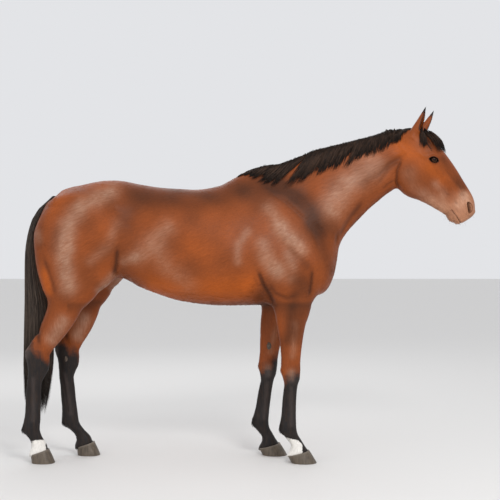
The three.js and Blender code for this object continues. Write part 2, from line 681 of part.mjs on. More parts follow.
/** The geometry of a solid's largest piece: a cut may leave crumbs. */
function largest(solid) {
  const { numProp, vertProperties, triVerts } = solid
    .decompose()
    .reduce((a, b) => (b.volume() > a.volume() ? b : a))
    .getMesh();
  const positions = [];
  for (let i = 0; i < vertProperties.length; i += numProp)
    positions.push(...vertProperties.subarray(i, i + 3));
  return new THREE.BufferGeometry()
    .setAttribute("position", new THREE.Float32BufferAttribute(positions, 3))
    .setIndex([...triVerts]);
}

const ROOM = 6000; // a block this big holds the whole horse

/** A block that fills the side of a plane that `normal` points to; the plane runs across the horse. */
function beyond([x, z], [nx, nz], gap = GAP / 2) {
  const block = new THREE.BoxGeometry(ROOM, ROOM, ROOM);
  block.translate(ROOM / 2 + gap, 0, 0);
  block.rotateY(-Math.atan2(nz, nx));
  block.translate(x, 0, z);
  return solidOf(block);
}

/** A block over a stretch of y. */
const across = (from, to) =>
  solidOf(new THREE.BoxGeometry(ROOM, to - from, ROOM).translate(0, (from + to) / 2, 0));

const flank = { [RIGHT]: across(-ROOM / 2, -GAP / 2), [LEFT]: across(GAP / 2, ROOM / 2) };

/** A hoof: a ring on the floor, one just above it and one at the coronet, which slopes down to the heel. */
function hoofGeometry(size, side, stance) {
  const points = 16;
  const bevel = 2; // the ground edge and the coronet are this much narrower than the wall
  const slope = (size.rise[1] - size.rise[0]) / (size.coronetToe - size.coronetHeel);
  const sections = [0, 0.07, 1].map((share) => {
    const back = lerp(size.heel, size.coronetHeel, share);
    const front = lerp(size.toe, size.coronetToe, share);
    const half = lerp(size.half, size.coronetHalf, share ** 1.1) - (share % 1 ? 0 : bevel);
    return Array.from({ length: points }, (_, i) => {
      const angle = (i / points) * 2 * Math.PI;
      const [c, s] = [Math.cos(angle), Math.sin(angle)];
      const ahead = Math.sign(c) * Math.abs(c) ** (c < 0 ? 0.8 : 0.95); // the heel is squarer than the toe
      const x = (back + front) / 2 + ((front - back) / 2) * ahead;
      const y = half * Math.sign(s) * Math.abs(s) ** 0.9 * (1 + 0.06 * c);
      const top = size.rise[0] + (x - size.coronetHeel) * slope;
      return new THREE.Vector3(x + stance, y + side * HOOF_Y, share * top);
    });
  });
  return new LoftGeometry(sections, { capStart: true, capEnd: true });
}

/** The top of a hoof, as a plane that runs across the horse: a point and the normal that leaves the hoof. */
const coronet = ({ coronetHeel, coronetToe, rise }, stance) => {
  const run = [coronetToe - coronetHeel, rise[1] - rise[0]];
  const length = Math.hypot(...run);
  return [[coronetHeel + stance, rise[0]], [-run[1] / length, run[0] / length]];
};

const EAR_RADIUS = new Curve([[0, 24], [0.16, 25.5], [0.4, 22.5], [0.66, 16], [0.86, 8.5], [1, 2.5]], 0.02);
const EAR_WALL = 4;
const EAR_BOW = 8; // how far an ear bends forwards at its middle

/** Gives the place at a share of an ear's height, an angle round it and a reach from its middle. */
function earFrame({ base, tip, turn }) {
  const [root, end] = [base, tip].map((p) => new THREE.Vector3(...p));
  const rise = end.clone().sub(root);
  const up = rise.clone().normalize();
  const forward = new THREE.Vector3(1, 0, 0).projectOnPlane(up).normalize().applyAxisAngle(up, turn);
  const sideways = new THREE.Vector3().crossVectors(up, forward);
  return (share, angle, reach) =>
    root
      .clone()
      .addScaledVector(rise, share)
      .addScaledVector(forward, EAR_BOW * Math.sin(Math.PI * share) + Math.cos(angle) * reach * 1.05)
      .addScaledVector(sideways, Math.sin(angle) * reach);
}

const earSections = (section) => {
  const steps = 7;
  const sections = Array.from({ length: steps + 1 }, (_, k) => section(k / steps));
  return new LoftGeometry(sections, { capStart: true, capEnd: true });
};

/** An ear: a leaf rolled into a funnel, its slit turned forwards and outwards. */
function earGeometry(ear) {
  const at = earFrame(ear);
  const points = 6;
  return earSections((share) => {
    const radius = EAR_RADIUS.at(share);
    const wall = Math.min(EAR_WALL, radius / 2);
    const opening = lerp(0.25, 1.15, Math.min(share * 2.2, 1)); // half the slit, in radians
    const step = (2 * (Math.PI - opening)) / (points - 1);
    const angles = Array.from({ length: points }, (_, i) => opening + i * step);
    const outer = angles.map((angle) => at(share, angle, radius));
    const inner = angles.map((angle) => at(share, angle, radius - wall));
    return [...outer, ...inner.reverse()];
  });
}

/** A plain round funnel that clears an ear all round, to keep the hair off it. */
function earRoom(ear) {
  const at = earFrame(ear);
  const [points, clearance] = [12, 2];
  return earSections((share) => {
    const radius = 1.05 * EAR_RADIUS.at(share) + clearance;
    return Array.from({ length: points }, (_, i) => at(share, (i / points) * 2 * Math.PI, radius));
  });
}

// ---------------------------------------------------------------- materials

const coat = new THREE.MeshStandardMaterial({ color: 0x8c4a2b, roughness: 0.5, metalness: 0 });
const black = new THREE.MeshStandardMaterial({ color: 0x1d1817, roughness: 0.55, metalness: 0 });
const hair = new THREE.MeshStandardMaterial({ color: 0x1a1413, roughness: 0.6, metalness: 0 });
const horn = new THREE.MeshStandardMaterial({ color: 0x4a453d, roughness: 0.6, metalness: 0 });
const wetEye = new THREE.MeshStandardMaterial({ color: 0x120a06, roughness: 0.05, metalness: 0 });

// ---------------------------------------------------------------- assembly

const horse = new THREE.Group();
const add = (name, geometry, material) => {
  const mesh = new THREE.Mesh(geometry, material);
  mesh.name = name;
  horse.add(mesh);
};
const sideName = { [RIGHT]: "right", [LEFT]: "left" };

/** The closed geometry of a field in a box, thinned to a number of triangles. */
const meshed = (field, low, high, { cell, triangles }) =>
  geometryOf(thinned(surfaceOf(field, low, high, cell), triangles));

const bodyGeometry = meshed(flesh, [-1300, -330, -5], [1330, 330, 1920], FLESH);
const whole = solidOf(bodyGeometry);
const wholeGrown = solidOf(bodyGeometry, GAP);

// Planes across the horse, each a point of the side view and the normal of the side that it gives.
const poll = [[868, 1700], [0.994, -0.11]];
const neckBase = [[300, 1425], [0.72, 0.694]];
const girth = [[15, 1250], [0.978, 0.21]];
const loin = [[-690, 1200], [0.998, 0.06]];
const away = ([point, [nx, nz]]) => [point, [-nx, -nz]];
const below = (z) => [[0, z], [0, -1]];
const above = (z) => [[0, z], [0, 1]];
const keep = (solid, ...planes) => planes.reduce((rest, plane) => rest.intersect(beyond(...plane)), solid);

// The legs part from the trunk below two planes each. The trunk's side of every cut stands a gap further off.
const FORE_CUT = [below(860), [[-200, 500], [1, 0]]];
const HIND_CUT = [[[-700, 1040], [-0.48, -0.877]], [[-700, 1040], [-1, 0]]];
const foreLegs = keep(whole, ...FORE_CUT);
const hindLegs = keep(whole, ...HIND_CUT);
const roomFor = ([a, b]) => beyond(...a, -GAP / 2).intersect(beyond(...b, -GAP / 2));
const legless = whole.subtract(roomFor(FORE_CUT)).subtract(roomFor(HIND_CUT));

const eyeball = (side, radius) =>
  new THREE.SphereGeometry(radius, 12, 8).translate(EYE.x, side * EYE.y, EYE.z);
const sockets = [RIGHT, LEFT].map((side) => solidOf(eyeball(side, EYE.radius + GAP)));
add("head", largest(sockets.reduce((rest, socket) => rest.subtract(socket), keep(legless, poll))), coat);
add("neck", largest(keep(legless, away(poll), neckBase)), coat);
add("forequarters", largest(keep(legless, away(poll), away(neckBase), girth)), coat);
add("barrel", largest(keep(legless, away(girth), loin)), coat);
add("croup", largest(keep(legless, away(girth), away(loin))), coat);

// The heights at which the legs are parted.
const [KNEE, FORE_FETLOCK] = [548, 232];
const [STIFLE, HOCK, HIND_FETLOCK] = [905, 668, 236];
for (const side of [RIGHT, LEFT]) {
  const name = sideName[side];
  const fore = foreLegs.intersect(flank[side]);
  const hind = hindLegs.intersect(flank[side]);
  const foreHoof = coronet(FORE_HOOF, FORE_STANCE[side]);
  const hindHoof = coronet(HIND_HOOF, HIND_STANCE[side]);
  add(`forearm_${name}`, largest(keep(fore, above(KNEE))), coat);
  add(`fore_cannon_${name}`, largest(keep(fore, below(KNEE), above(FORE_FETLOCK))), black);
  add(`fore_pastern_${name}`, largest(keep(fore, below(FORE_FETLOCK), foreHoof)), black);
  add(`thigh_${name}`, largest(keep(hind, above(STIFLE))), coat);
  add(`gaskin_${name}`, largest(keep(hind, below(STIFLE), above(HOCK))), coat);
  add(`hind_cannon_${name}`, largest(keep(hind, below(HOCK), above(HIND_FETLOCK))), black);
  add(`hind_pastern_${name}`, largest(keep(hind, below(HIND_FETLOCK), hindHoof)), black);
  const foreHorn = solidOf(hoofGeometry(FORE_HOOF, side, FORE_STANCE[side]));
  const hindHorn = solidOf(hoofGeometry(HIND_HOOF, side, HIND_STANCE[side]));
  add(`fore_hoof_${name}`, largest(keep(foreHorn, away(foreHoof))), horn);
  add(`hind_hoof_${name}`, largest(keep(hindHorn, away(hindHoof))), horn);
  add(`eye_${name}`, eyeball(side, EYE.radius), wetEye);
}

for (const [name, ear] of Object.entries(EARS))
  add(`ear_${name}`, largest(solidOf(earGeometry(ear)).subtract(wholeGrown)), coat);

const earRooms = Object.values(EARS).map((ear) => solidOf(earRoom(ear)));
const addHair = (name, field, low, high, detail) => {
  const solid = solidOf(meshed(field, low, high, detail)).subtract(wholeGrown);
  add(name, largest(earRooms.reduce((rest, room) => rest.subtract(room), solid)), hair);
};
addHair("mane", mane, [-160, -160, 1400], [950, 60, 1930], MANE);
addHair("forelock", forelock, [870, -100, 1620], [1160, 80, 1940], FORELOCK);
const tailGeometry = meshed((x, y, z) => tail.distance(x, y, z), [-1310, -90, 200], [-1000, 90, 1560], TAIL);
const tailSolid = solidOf(tailGeometry).subtract(wholeGrown);
add("dock", largest(keep(tailSolid, above(TAIL.dockEnd))), hair);
add("tail", largest(keep(tailSolid, below(TAIL.dockEnd))), hair);

// The origin is under the middle of the horse, on the floor.
const box = new THREE.Box3().setFromObject(horse);
const centre = box.getCenter(new THREE.Vector3());
horse.position.set(-centre.x, -centre.y, -box.min.z);

export default horse;
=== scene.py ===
"""A bay Thoroughbred-type horse, standing, life size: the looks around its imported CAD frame.

The flesh is drawn again here as a smooth field of distances, in the drawing's millimetres: +X to the head,
+Y to the horse's left, +Z up. It is meshed finely into one skin, which stands for every CAD node of flesh.
"""

import math

import bpy
import numpy as np
import openvdb
from mathutils import Matrix, Vector


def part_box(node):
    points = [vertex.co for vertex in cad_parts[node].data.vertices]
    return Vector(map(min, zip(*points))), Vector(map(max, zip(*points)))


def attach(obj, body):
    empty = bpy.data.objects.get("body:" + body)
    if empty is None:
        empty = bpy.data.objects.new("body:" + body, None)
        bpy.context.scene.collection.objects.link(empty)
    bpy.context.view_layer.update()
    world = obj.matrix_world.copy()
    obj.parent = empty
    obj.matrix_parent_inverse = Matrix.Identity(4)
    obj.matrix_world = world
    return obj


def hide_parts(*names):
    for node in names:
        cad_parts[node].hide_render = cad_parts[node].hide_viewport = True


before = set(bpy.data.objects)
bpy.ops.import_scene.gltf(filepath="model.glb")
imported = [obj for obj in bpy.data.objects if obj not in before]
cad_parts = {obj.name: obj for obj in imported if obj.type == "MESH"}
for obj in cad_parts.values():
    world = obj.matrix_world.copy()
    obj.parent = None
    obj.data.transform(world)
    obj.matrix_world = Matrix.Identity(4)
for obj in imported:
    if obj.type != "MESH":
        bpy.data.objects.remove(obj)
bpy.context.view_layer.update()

RIGHT, LEFT = -1, 1
SIDES = {RIGHT: "right", LEFT: "left"}
MM = 0.001
COAT = 2.5  # the skin lies this far inside the solids, in mm

LOIN_X = -350  # what is behind this belongs to the hind legs
STANCE = {"fore": {RIGHT: 0, LEFT: -158}, "hind": {RIGHT: 0, LEFT: 222}}  # each hoof's own place along x
HOOF_Y = 118
HOOF_SIZES = {
    "fore": {"toe": 386, "heel": 243, "half": 64,
             "top_toe": 343, "top_heel": 222, "top_half": 48, "rise": (37, 69)},
    "hind": {"toe": -1078, "heel": -1208, "half": 59,
             "top_toe": -1113, "top_heel": -1213, "top_half": 45, "rise": (43, 77)},
}
EYE_CENTRE = np.array([1045.0, 84.0, 1694.0])
EYE_RADIUS = 23.0
EYE_TILT = math.radians(-14)

# The drawing's origin in the frame follows from the near fore hoof.
hoof_low, hoof_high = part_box("fore_hoof_right")
SHIFT = np.array([hoof_high.x / MM - HOOF_SIZES["fore"]["toe"],
                  (hoof_low.y + hoof_high.y) / 2 / MM + HOOF_Y, 0.0])


def placed(points):
    """Points of the drawing, in the frame's metres."""
    return (np.asarray(points, float) + SHIFT) * MM


# ------------------------------------------------------------------ curves and forms


class Curve:
    """A smooth curve through [t, value] pairs, read from a fine table."""

    def __init__(self, points, step=2.0):
        t, v = np.array(points, float).T
        ends = np.r_[0, np.arange(len(t)), len(t) - 1]
        slopes = (v[ends[2:]] - v[ends[:-2]]) / (t[ends[2:]] - t[ends[:-2]])
        self.t = np.arange(t[0], t[-1] + step, step)
        i = np.clip(np.searchsorted(t, self.t, side="right") - 1, 0, len(t) - 2)
        span = t[i + 1] - t[i]
        s = np.clip((self.t - t[i]) / span, 0, 1)
        h = s * s * (3 - 2 * s)
        bend = slopes[i] * s * (1 - s) ** 2 - slopes[i + 1] * s * s * (1 - s)
        self.v = v[i] * (1 - h) + v[i + 1] * h + span * bend
        self.steep = np.gradient(self.v, self.t)

    def __call__(self, t):
        return np.interp(t, self.t, self.v)

    def slope(self, t):
        """How fast the value grows at t."""
        return np.interp(t, self.t, self.steep)


def smooth_min(a, b, reach):
    """The lesser of a and b, with a rounding a quarter of `reach` deep where they are equal."""
    h = np.maximum(1.5 * reach - np.abs(a - b), 0) / (1.5 * reach)
    return np.minimum(a, b) - h * h * h * reach / 4


def smooth_max(a, b, reach):
    """The greater of a and b, rounded in the same way."""
    return -smooth_min(-a, -b, reach)


def to_path(path, x, z):
    """The gap between points and a line through `path`, in side view."""
    near = np.full(np.shape(x), np.inf)
    for (ax, az), (bx, bz) in zip(path, path[1:] or path):
        length = (bx - ax) ** 2 + (bz - az) ** 2
        s = np.clip(((x - ax) * (bx - ax) + (z - az) * (bz - az)) / length, 0, 1) if length else 0
        near = np.minimum(near, np.hypot(x - ax - s * (bx - ax), z - az - s * (bz - az)))
    return near


class Form:
    """A body drawn in two views: its outlines along an axis in side view, and its half width across."""

    def __init__(self, upper, lower, width, span, caps, origin=(0, 0), axis=(1, 0), middle=None, egg=None,
                 power=2.0, side=1, shift=None):
        self.upper, self.lower, self.width = Curve(upper), Curve(lower), Curve(width)
        self.middle = Curve(middle or [[0, 0], [1, 0]])
        self.egg = Curve(egg or [[0, 0], [1, 0]])
        self.span, self.caps, self.origin = span, caps, origin
        self.axis = np.array(axis) / np.hypot(*axis)
        self.power, self.side, self.shift = power, side, shift

    def local(self, x, z):
        """Where points of the side view are along the axis and above it."""
        dx, dz = x - self.origin[0], z - self.origin[1]
        return dx * self.axis[0] + dz * self.axis[1], dz * self.axis[0] - dx * self.axis[1]

    def edges(self, z):
        """Where the rear and front edges of an upright form are at heights z."""
        return self.shift(z) - self.upper(z), self.shift(z) - self.lower(z)

    def distance(self, x, y, z):
        """How far points are outside the form: exact on its surface, and near enough elsewhere."""
        along, above = self.local(x - self.shift(z) if self.shift else x, z)
        t = np.clip(along, *self.span)
        beyond = along - t
        cap = np.where(beyond < 0, *self.caps)
        top, bottom, wide = self.upper(t), self.lower(t), self.width(t)
        deep = (top - bottom) / 2
        h = above - (top + bottom) / 2
        across = y - self.side * self.middle(t)
        u = h / deep
        v = across / (wide * (1 - self.egg(t) * np.clip(u, -1, 1)))
        flat = (np.abs(u) ** self.power + np.abs(v) ** self.power) ** (1 / self.power)
        ratio = np.maximum(np.hypot(flat, beyond / cap), 1e-3)
        reach = np.maximum(np.sqrt(h * h + across * across + beyond * beyond), 1e-3)
        cu, cv = h / reach, across / reach
        swell = np.where(cu > 0, self.upper.slope(t), -self.lower.slope(t)) * np.abs(cu)
        swell = (swell + self.width.slope(t) * cv * cv) * np.clip(1 - np.abs(beyond) / cap, 0, 1)
        return reach * (1 - 1 / ratio) / np.hypot(1, swell)


# ------------------------------------------------------------------ the body's forms


def flipped(points):
    """An outline of an upright form: its front is its lower edge, so x is counted backwards."""
    return [[t, -v] for t, v in points]


TRUNK = Form(
    span=[-1100, 400],
    caps=[75, 90],
    upper=[[-1100, 1478], [-1050, 1530], [-930, 1560], [-842, 1580], [-770, 1586], [-700, 1581], [-614, 1564],
           [-500, 1546], [-386, 1538], [-272, 1535], [-158, 1557], [-101, 1584], [-44, 1612], [0, 1622],
           [60, 1618], [130, 1585], [230, 1500], [330, 1370], [400, 1280]],
    lower=[[-1100, 1180], [-1000, 1080], [-850, 1040], [-760, 1030], [-700, 1024], [-614, 978], [-500, 933],
           [-386, 899], [-215, 875], [-101, 872], [13, 874], [155, 878], [280, 890], [350, 905], [400, 935]],
    width=[[-1100, 120], [-1000, 190], [-850, 245], [-750, 256], [-600, 255], [-450, 272], [-250, 286],
           [-100, 282], [50, 244], [200, 205], [330, 186], [400, 160]],
    egg=[[-1100, 0.1], [-800, 0.12], [-500, 0.05], [-250, 0.12], [-50, 0.36], [100, 0.42], [400, 0.2]],
    power=2.15,
)
NECK = Form(
    origin=[150, 1330],
    axis=[730, 430],
    span=[-120, 835],
    caps=[100, 30],
    upper=[[-120, 225], [-44, 252], [35, 277], [91, 291], [150, 283], [202, 272], [318, 250], [438, 228],
           [552, 195], [666, 163], [779, 131], [835, 112]],
    lower=[[-120, -400], [0, -390], [123, -360], [193, -323], [246, -289], [302, -262], [362, -239],
           [441, -216], [521, -195], [599, -182], [637, -176], [686, -172], [775, -152], [835, -120]],
    width=[[-120, 190], [0, 186], [120, 168], [250, 138], [400, 108], [550, 90], [700, 82], [775, 82],
           [835, 72]],
    egg=[[-120, 0.35], [250, 0.45], [500, 0.35], [775, 0.1]],
    power=2.0,
)
HEAD = Form(
    origin=[930, 1800],
    axis=[0.543, -0.84],
    span=[-62, 520],
    caps=[18, 27],
    upper=[[-62, 38], [-25, 77], [30, 104], [91, 122], [155, 130], [252, 136], [360, 134], [414, 133],
           [452, 129], [487, 118], [520, 100]],
    lower=[[-62, -60], [-21, -85], [21, -118], [51, -142], [90, -168], [129, -190], [169, -202], [197, -200],
           [232, -189], [263, -171], [303, -140], [362, -105], [422, -76], [455, -60], [492, -60],
           [520, -42]],
    width=[[-62, 60], [-25, 78], [30, 93], [91, 101], [150, 102], [200, 93], [252, 80], [300, 69], [340, 59],
           [380, 51], [414, 47], [440, 49], [470, 56], [500, 57], [520, 49]],
    egg=[[-62, 0.0], [91, -0.08], [150, -0.1], [252, 0.05], [360, 0.05], [520, -0.08]],
    power=2.5,
)


def lean(stance, points):
    """How far a leg leans to its own hoof's place: none at the top, all of it at the floor."""
    share = Curve(points)
    return lambda z: stance * share(z)


def fore_leg(side):
    """A fore leg from its hoof to the shoulder."""
    return Form(
        axis=[0, 1],
        span=[30, 1430],
        caps=[20, 90],
        side=side,
        shift=lean(STANCE["fore"][side], [[0, 1], [100, 1], [200, 0.96], [315, 0.88], [430, 0.82],
                                          [560, 0.76], [690, 0.66], [830, 0.46], [960, 0.2], [1100, 0]]),
        lower=flipped([[30, 360], [50, 350], [78, 333], [94, 322], [128, 301], [156, 284], [180, 277],
                       [212, 274], [300, 273], [390, 277], [435, 283], [469, 293], [520, 297],
                       [563, 297], [631, 303],
                       [714, 314], [776, 327], [820, 343], [860, 353], [900, 358], [960, 378], [1040, 415],
                       [1110, 432], [1200, 420], [1300, 340], [1430, 230]]),
        upper=flipped([[30, 218], [50, 222], [70, 234], [94, 240], [110, 236], [128, 223], [156, 197],
                       [178, 176], [212, 177], [267, 186], [351, 192], [400, 198], [440, 201], [480, 192],
                       [512, 181], [545, 184], [600, 184], [686, 175], [753, 163], [826, 152], [882, 141],
                       [940, 118], [1005, 82], [1077, 30], [1200, -30], [1300, -50], [1430, -30]]),
        width=[[30, 42], [60, 44], [90, 40], [125, 31], [160, 33], [200, 37], [235, 33], [290, 25], [380, 26],
               [430, 36], [490, 46], [530, 45], [580, 39], [650, 43], [740, 53], [820, 60], [900, 68],
               [1000, 80], [1150, 92], [1300, 78], [1430, 45]],
        middle=[[30, 118], [500, 120], [900, 126], [1100, 118], [1430, 70]],
        power=2.1,
    )


def hind_leg(side):
    """A hind leg from its hoof to the croup."""
    return Form(
        axis=[0, 1],
        span=[30, 1430],
        caps=[20, 80],
        side=side,
        shift=lean(STANCE["hind"][side], [[0, 1], [110, 0.96], [200, 0.82], [315, 0.73], [400, 0.68],
                                          [490, 0.6], [600, 0.57], [700, 0.47], [800, 0.36], [900, 0.25],
                                          [1000, 0.12], [1150, 0]]),
        lower=flipped([[30, -1095], [50, -1105], [78, -1116], [111, -1127], [145, -1149], [184, -1161],
                       [239, -1158], [351, -1155], [446, -1149], [480, -1133], [519, -1112], [563, -1106],
                       [603, -1103], [642, -1077], [686, -1038], [742, -993], [809, -948], [854, -922],
                       [882, -892], [921, -853], [960, -822], [999, -775], [1050, -735], [1150, -705],
                       [1300, -715], [1430, -770]]),
        upper=flipped([[30, -1222], [55, -1224], [75, -1217], [94, -1211], [122, -1216], [150, -1235],
                       [176, -1264], [212, -1259], [267, -1249], [351, -1244], [435, -1238], [491, -1231],
                       [547, -1234], [591, -1245], [622, -1246], [653, -1226], [709, -1188], [787, -1149],
                       [843, -1127], [882, -1117], [921, -1121], [966, -1142], [1022, -1160], [1089, -1177],
                       [1161, -1188], [1245, -1195], [1300, -1190], [1373, -1158], [1430, -1115]]),
        width=[[30, 41], [60, 43], [90, 38], [125, 31], [160, 34], [200, 38], [240, 34], [300, 27], [400, 28],
               [470, 34], [540, 42], [600, 41], [650, 38], [720, 46], [800, 58], [880, 70], [960, 86],
               [1050, 104], [1180, 128], [1300, 136], [1430, 110]],
        middle=[[30, 118], [500, 120], [700, 130], [900, 142], [1050, 142], [1200, 132], [1430, 110]],
        power=2.15,
    )


LEGS = {"fore": {side: fore_leg(side) for side in SIDES}, "hind": {side: hind_leg(side) for side in SIDES}}

# Swellings (height above 0) and furrows (below 0) along lines of the side view: path, spread, height, side.
RELIEF = [
    ([[95, 1420], [290, 1190]], 42, 9, 0),
    ([[130, 1490], [430, 1245]], 38, -5, 0),
    ([[131, 1510], [215, 1449], [311, 1359]], 13, -3.5, 0),
    ([[376, 1334], [425, 1288], [452, 1240]], 12, -4, 0),
    ([[360, 1272], [384, 1230], [391, 1190]], 11, -3.5, 0),
    ([[170, 1240], [250, 1165], [320, 1120]], 20, -5, 0),
    ([[20, 1330], [170, 1040]], 75, 13, 0),
    ([[400, 1110]], 50, 9, 0),
    ([[357, 1085], [352, 1010], [340, 930]], 10, -9, 0),
    ([[57, 1077], [85, 1005], [124, 938], [147, 885]], 12, -11, 0),
    ([[113, 1010], [152, 949], [219, 921], [275, 943]], 12, -6, 0),
    ([[300, 900], [265, 690]], 30, 5, 0),
    ([[-30, 1270]], 65, -6, 0),
    ([[-603, 1440], [-670, 1210]], 62, -12, 0),
    ([[-491, 1329], [-603, 1150], [-680, 1120]], 42, 7, 0),
    ([[-735, 1440]], 42, 13, 0),
    ([[-900, 1440]], 105, 11, 0),
    ([[-1000, 1330], [-990, 1100]], 48, 8, 0),
    ([[-1125, 1150], [-1075, 1010], [-1062, 935]], 15, -7, 0),
    ([[-815, 1020]], 42, 10, 0),
    ([[-714, 1200], [-724, 1120], [-741, 1045]], 12, -10, 0),
    ([[-1080, 745]], 36, 6, RIGHT),
    ([[-970, 745]], 36, 6, LEFT),
    ([[-1168, 760], [-1160, 650]], 15, -9, RIGHT),
    ([[-1070, 760], [-1040, 650]], 15, -9, LEFT),
    # the groove before the tendons of each leg
    ([[213, 440], [216, 225]], 6, -4, RIGHT),
    ([[82, 440], [67, 225]], 6, -4, LEFT),
    ([[-1211, 480], [-1213, 245]], 6, -4, RIGHT),
    ([[-1075, 480], [-1037, 245]], 6, -4, LEFT),
    # neck: folds at the throat, the wing of the atlas, the jugular groove and the muscles over the blade
    ([[878, 1722], [800, 1674], [722, 1596]], 12, -6, 0),
    ([[856, 1690], [790, 1640], [732, 1560]], 9, -5, 0),
    ([[832, 1582], [786, 1556], [758, 1530]], 9, -5, 0),
    ([[846, 1778], [826, 1742]], 22, 6, 0),
    ([[651, 1462], [575, 1370], [510, 1256]], 16, -7, 0),
    ([[505, 1295], [494, 1211]], 10, -4, 0),
    ([[640, 1580], [500, 1480]], 85, 8, 0),
    ([[320, 1520]], 70, -9, 0),
    # head: cheek and its rear edge, temple, brow, cheek bone and the hollow along the nose
    ([[930, 1610], [955, 1545]], 60, 8, 0),
    ([[866, 1692], [842, 1636], [842, 1572], [866, 1524]], 9, -8, 0),
    ([[888, 1690], [866, 1636], [868, 1576], [892, 1534]], 13, 4, 0),
    ([[1000, 1752]], 22, -5, 0),
    ([[1014, 1722], [1043, 1731], [1070, 1716]], 11, 5, 0),
    ([[1012, 1702], [955, 1738]], 12, 5, 0),
    ([[1070, 1650], [1128, 1566]], 12, 6, 0),
    ([[1112, 1650], [1165, 1584], [1222, 1526]], 10, -4, 0),
    ([[1101, 1531], [1150, 1485]], 8, -3, 0),
    ([[1161, 1474], [1194, 1440]], 8, -3, 0),
    ([[1070, 1436], [1108, 1400]], 9, -3, 0),
    ([[1040, 1600], [1110, 1490]], 30, -5, 0),
    ([[1196, 1478], [1165, 1440]], 20, 3, 0),
    ([[1215, 1500]], 16, -4, 0),
]


def relief(x, y, z, widest=1000):
    """The height of all swellings and furrows whose spread is no more than `widest`."""
    flank = np.minimum(np.abs(y) / 30, 1)
    height = np.zeros_like(x)
    for path, spread, most, side in RELIEF:
        low, high = np.min(path, 0) - 2.5 * spread, np.max(path, 0) + 2.5 * spread
        if spread > widest:
            continue
        where = (x > low[0]) & (x < high[0]) & (z > low[1]) & (z < high[1]) & (side * y >= 0)
        if where.any():
            px, pz = x[where], z[where]
            near = to_path(path, px, pz) / spread
            # A line is at its full height only some way from its ends.
            end = np.minimum(*(np.hypot(px - a, pz - b) for a, b in (path[0], path[-1])))
            full = np.clip(0.25 + end / (3 * spread), 0, 1) if len(path) > 1 else 1
            height[where] += most * full * np.exp(-near * near)
    return height * flank


# ------------------------------------------------------------------ ears, eyes, nostrils and mouth


class Ear:
    """A leaf rolled into a funnel, its slit turned forwards and outwards."""

    WALL = 4.4
    BOW = 8.0  # how far it bends forwards at its middle

    def __init__(self, base, tip, turn):
        self.base = np.array(base, float)
        up = np.array(tip, float) - self.base
        self.length = np.linalg.norm(up)
        self.up = up / self.length
        forward = Vector(np.array([1.0, 0, 0]) - self.up * self.up[0]).normalized()
        forward.rotate(Matrix.Rotation(turn, 3, Vector(self.up)))
        self.forward = np.array(forward)
        self.sideways = np.cross(self.up, self.forward)
        radii = [[-0.25, 30], [0, 25], [0.16, 25.5], [0.4, 22.5], [0.66, 16], [0.86, 8.5], [1, 2.5]]
        slits = [[-0.25, 60], [0.06, 42], [0.16, 27], [0.3, 18], [0.5, 12], [0.75, 7], [1, 1]]
        self.radius, self.slit = Curve(radii, 0.01), Curve(slits, 0.01)

    def local(self, p):
        """The share of the ear's height at points, and how far ahead and beside its bowed middle they are."""
        p = p - self.base
        share = p @ self.up / self.length
        ahead = p @ self.forward - self.BOW * np.sin(np.pi * np.clip(share, 0, 1))
        return share, ahead, p @ self.sideways

    def distance(self, x, y, z):
        """How far points are outside the ear. Its coat is thin: the skin is only 0.3 mm inside the CAD's."""
        share, ahead, beside = self.local(np.stack([x, y, z], -1))
        t = np.clip(share, -0.2, 1)
        radius = self.radius(t)
        ring = np.hypot(ahead / 1.05, beside) - radius
        slope = np.hypot(1, self.radius.slope(t) / self.length)
        outer = np.maximum(ring / slope, np.maximum(share - 1, -0.2 - share) * self.length)
        wall = np.minimum(self.WALL, radius * 0.5)
        hollow = smooth_max(ring + wall, np.maximum(0.02 - share, share - 0.94) * self.length, 8)
        leaf = smooth_max(outer, -hollow, 2.0)
        return smooth_max(leaf, ahead - self.slit(t), 3.0) - COAT + 0.3

    def from_slit(self, p):
        """The share of the ear's height at points, and how far they are from the slit's edge."""
        share, ahead, _ = self.local(p)
        return share, ahead - self.slit(np.clip(share, -0.2, 1))

    def inside(self, p):
        """1 on the funnel's inner face, 0 on its back."""
        share, ahead, beside = self.local(p)
        ring = np.hypot(ahead / 1.05, beside)
        return ramp(ring - self.radius(np.clip(share, -0.2, 1)), -1.2, -2.6) * ramp(share, -0.02, 0.05)


EARS = {
    RIGHT: Ear([940, -54, 1850], [1003, -66, 1992], -0.6),
    LEFT: Ear([981, 52, 1846], [1069, 68, 1985], 0.3),
}


def eye_space(x, y, z, side):
    """Coordinates about an eye: ahead along the lids, above them, and outwards."""
    dx, dz = x - EYE_CENTRE[0], z - EYE_CENTRE[2]
    ahead = dx * math.cos(EYE_TILT) + dz * math.sin(EYE_TILT)
    above = dz * math.cos(EYE_TILT) - dx * math.sin(EYE_TILT)
    return ahead, above, side * y - EYE_CENTRE[1]


def almond_of(ahead, above):
    """How far points are outside the opening between the lids."""
    half, rise, drop = 26.0, 16.0, 13.0  # its half length and its height above and below the corners
    up_r, down_r = (half ** 2 + rise ** 2) / (2 * rise), (half ** 2 + drop ** 2) / (2 * drop)
    upper = np.hypot(ahead, above - (rise - up_r)) - up_r
    lower = np.hypot(ahead, above + (drop - down_r)) - down_r
    return np.maximum(upper, lower)


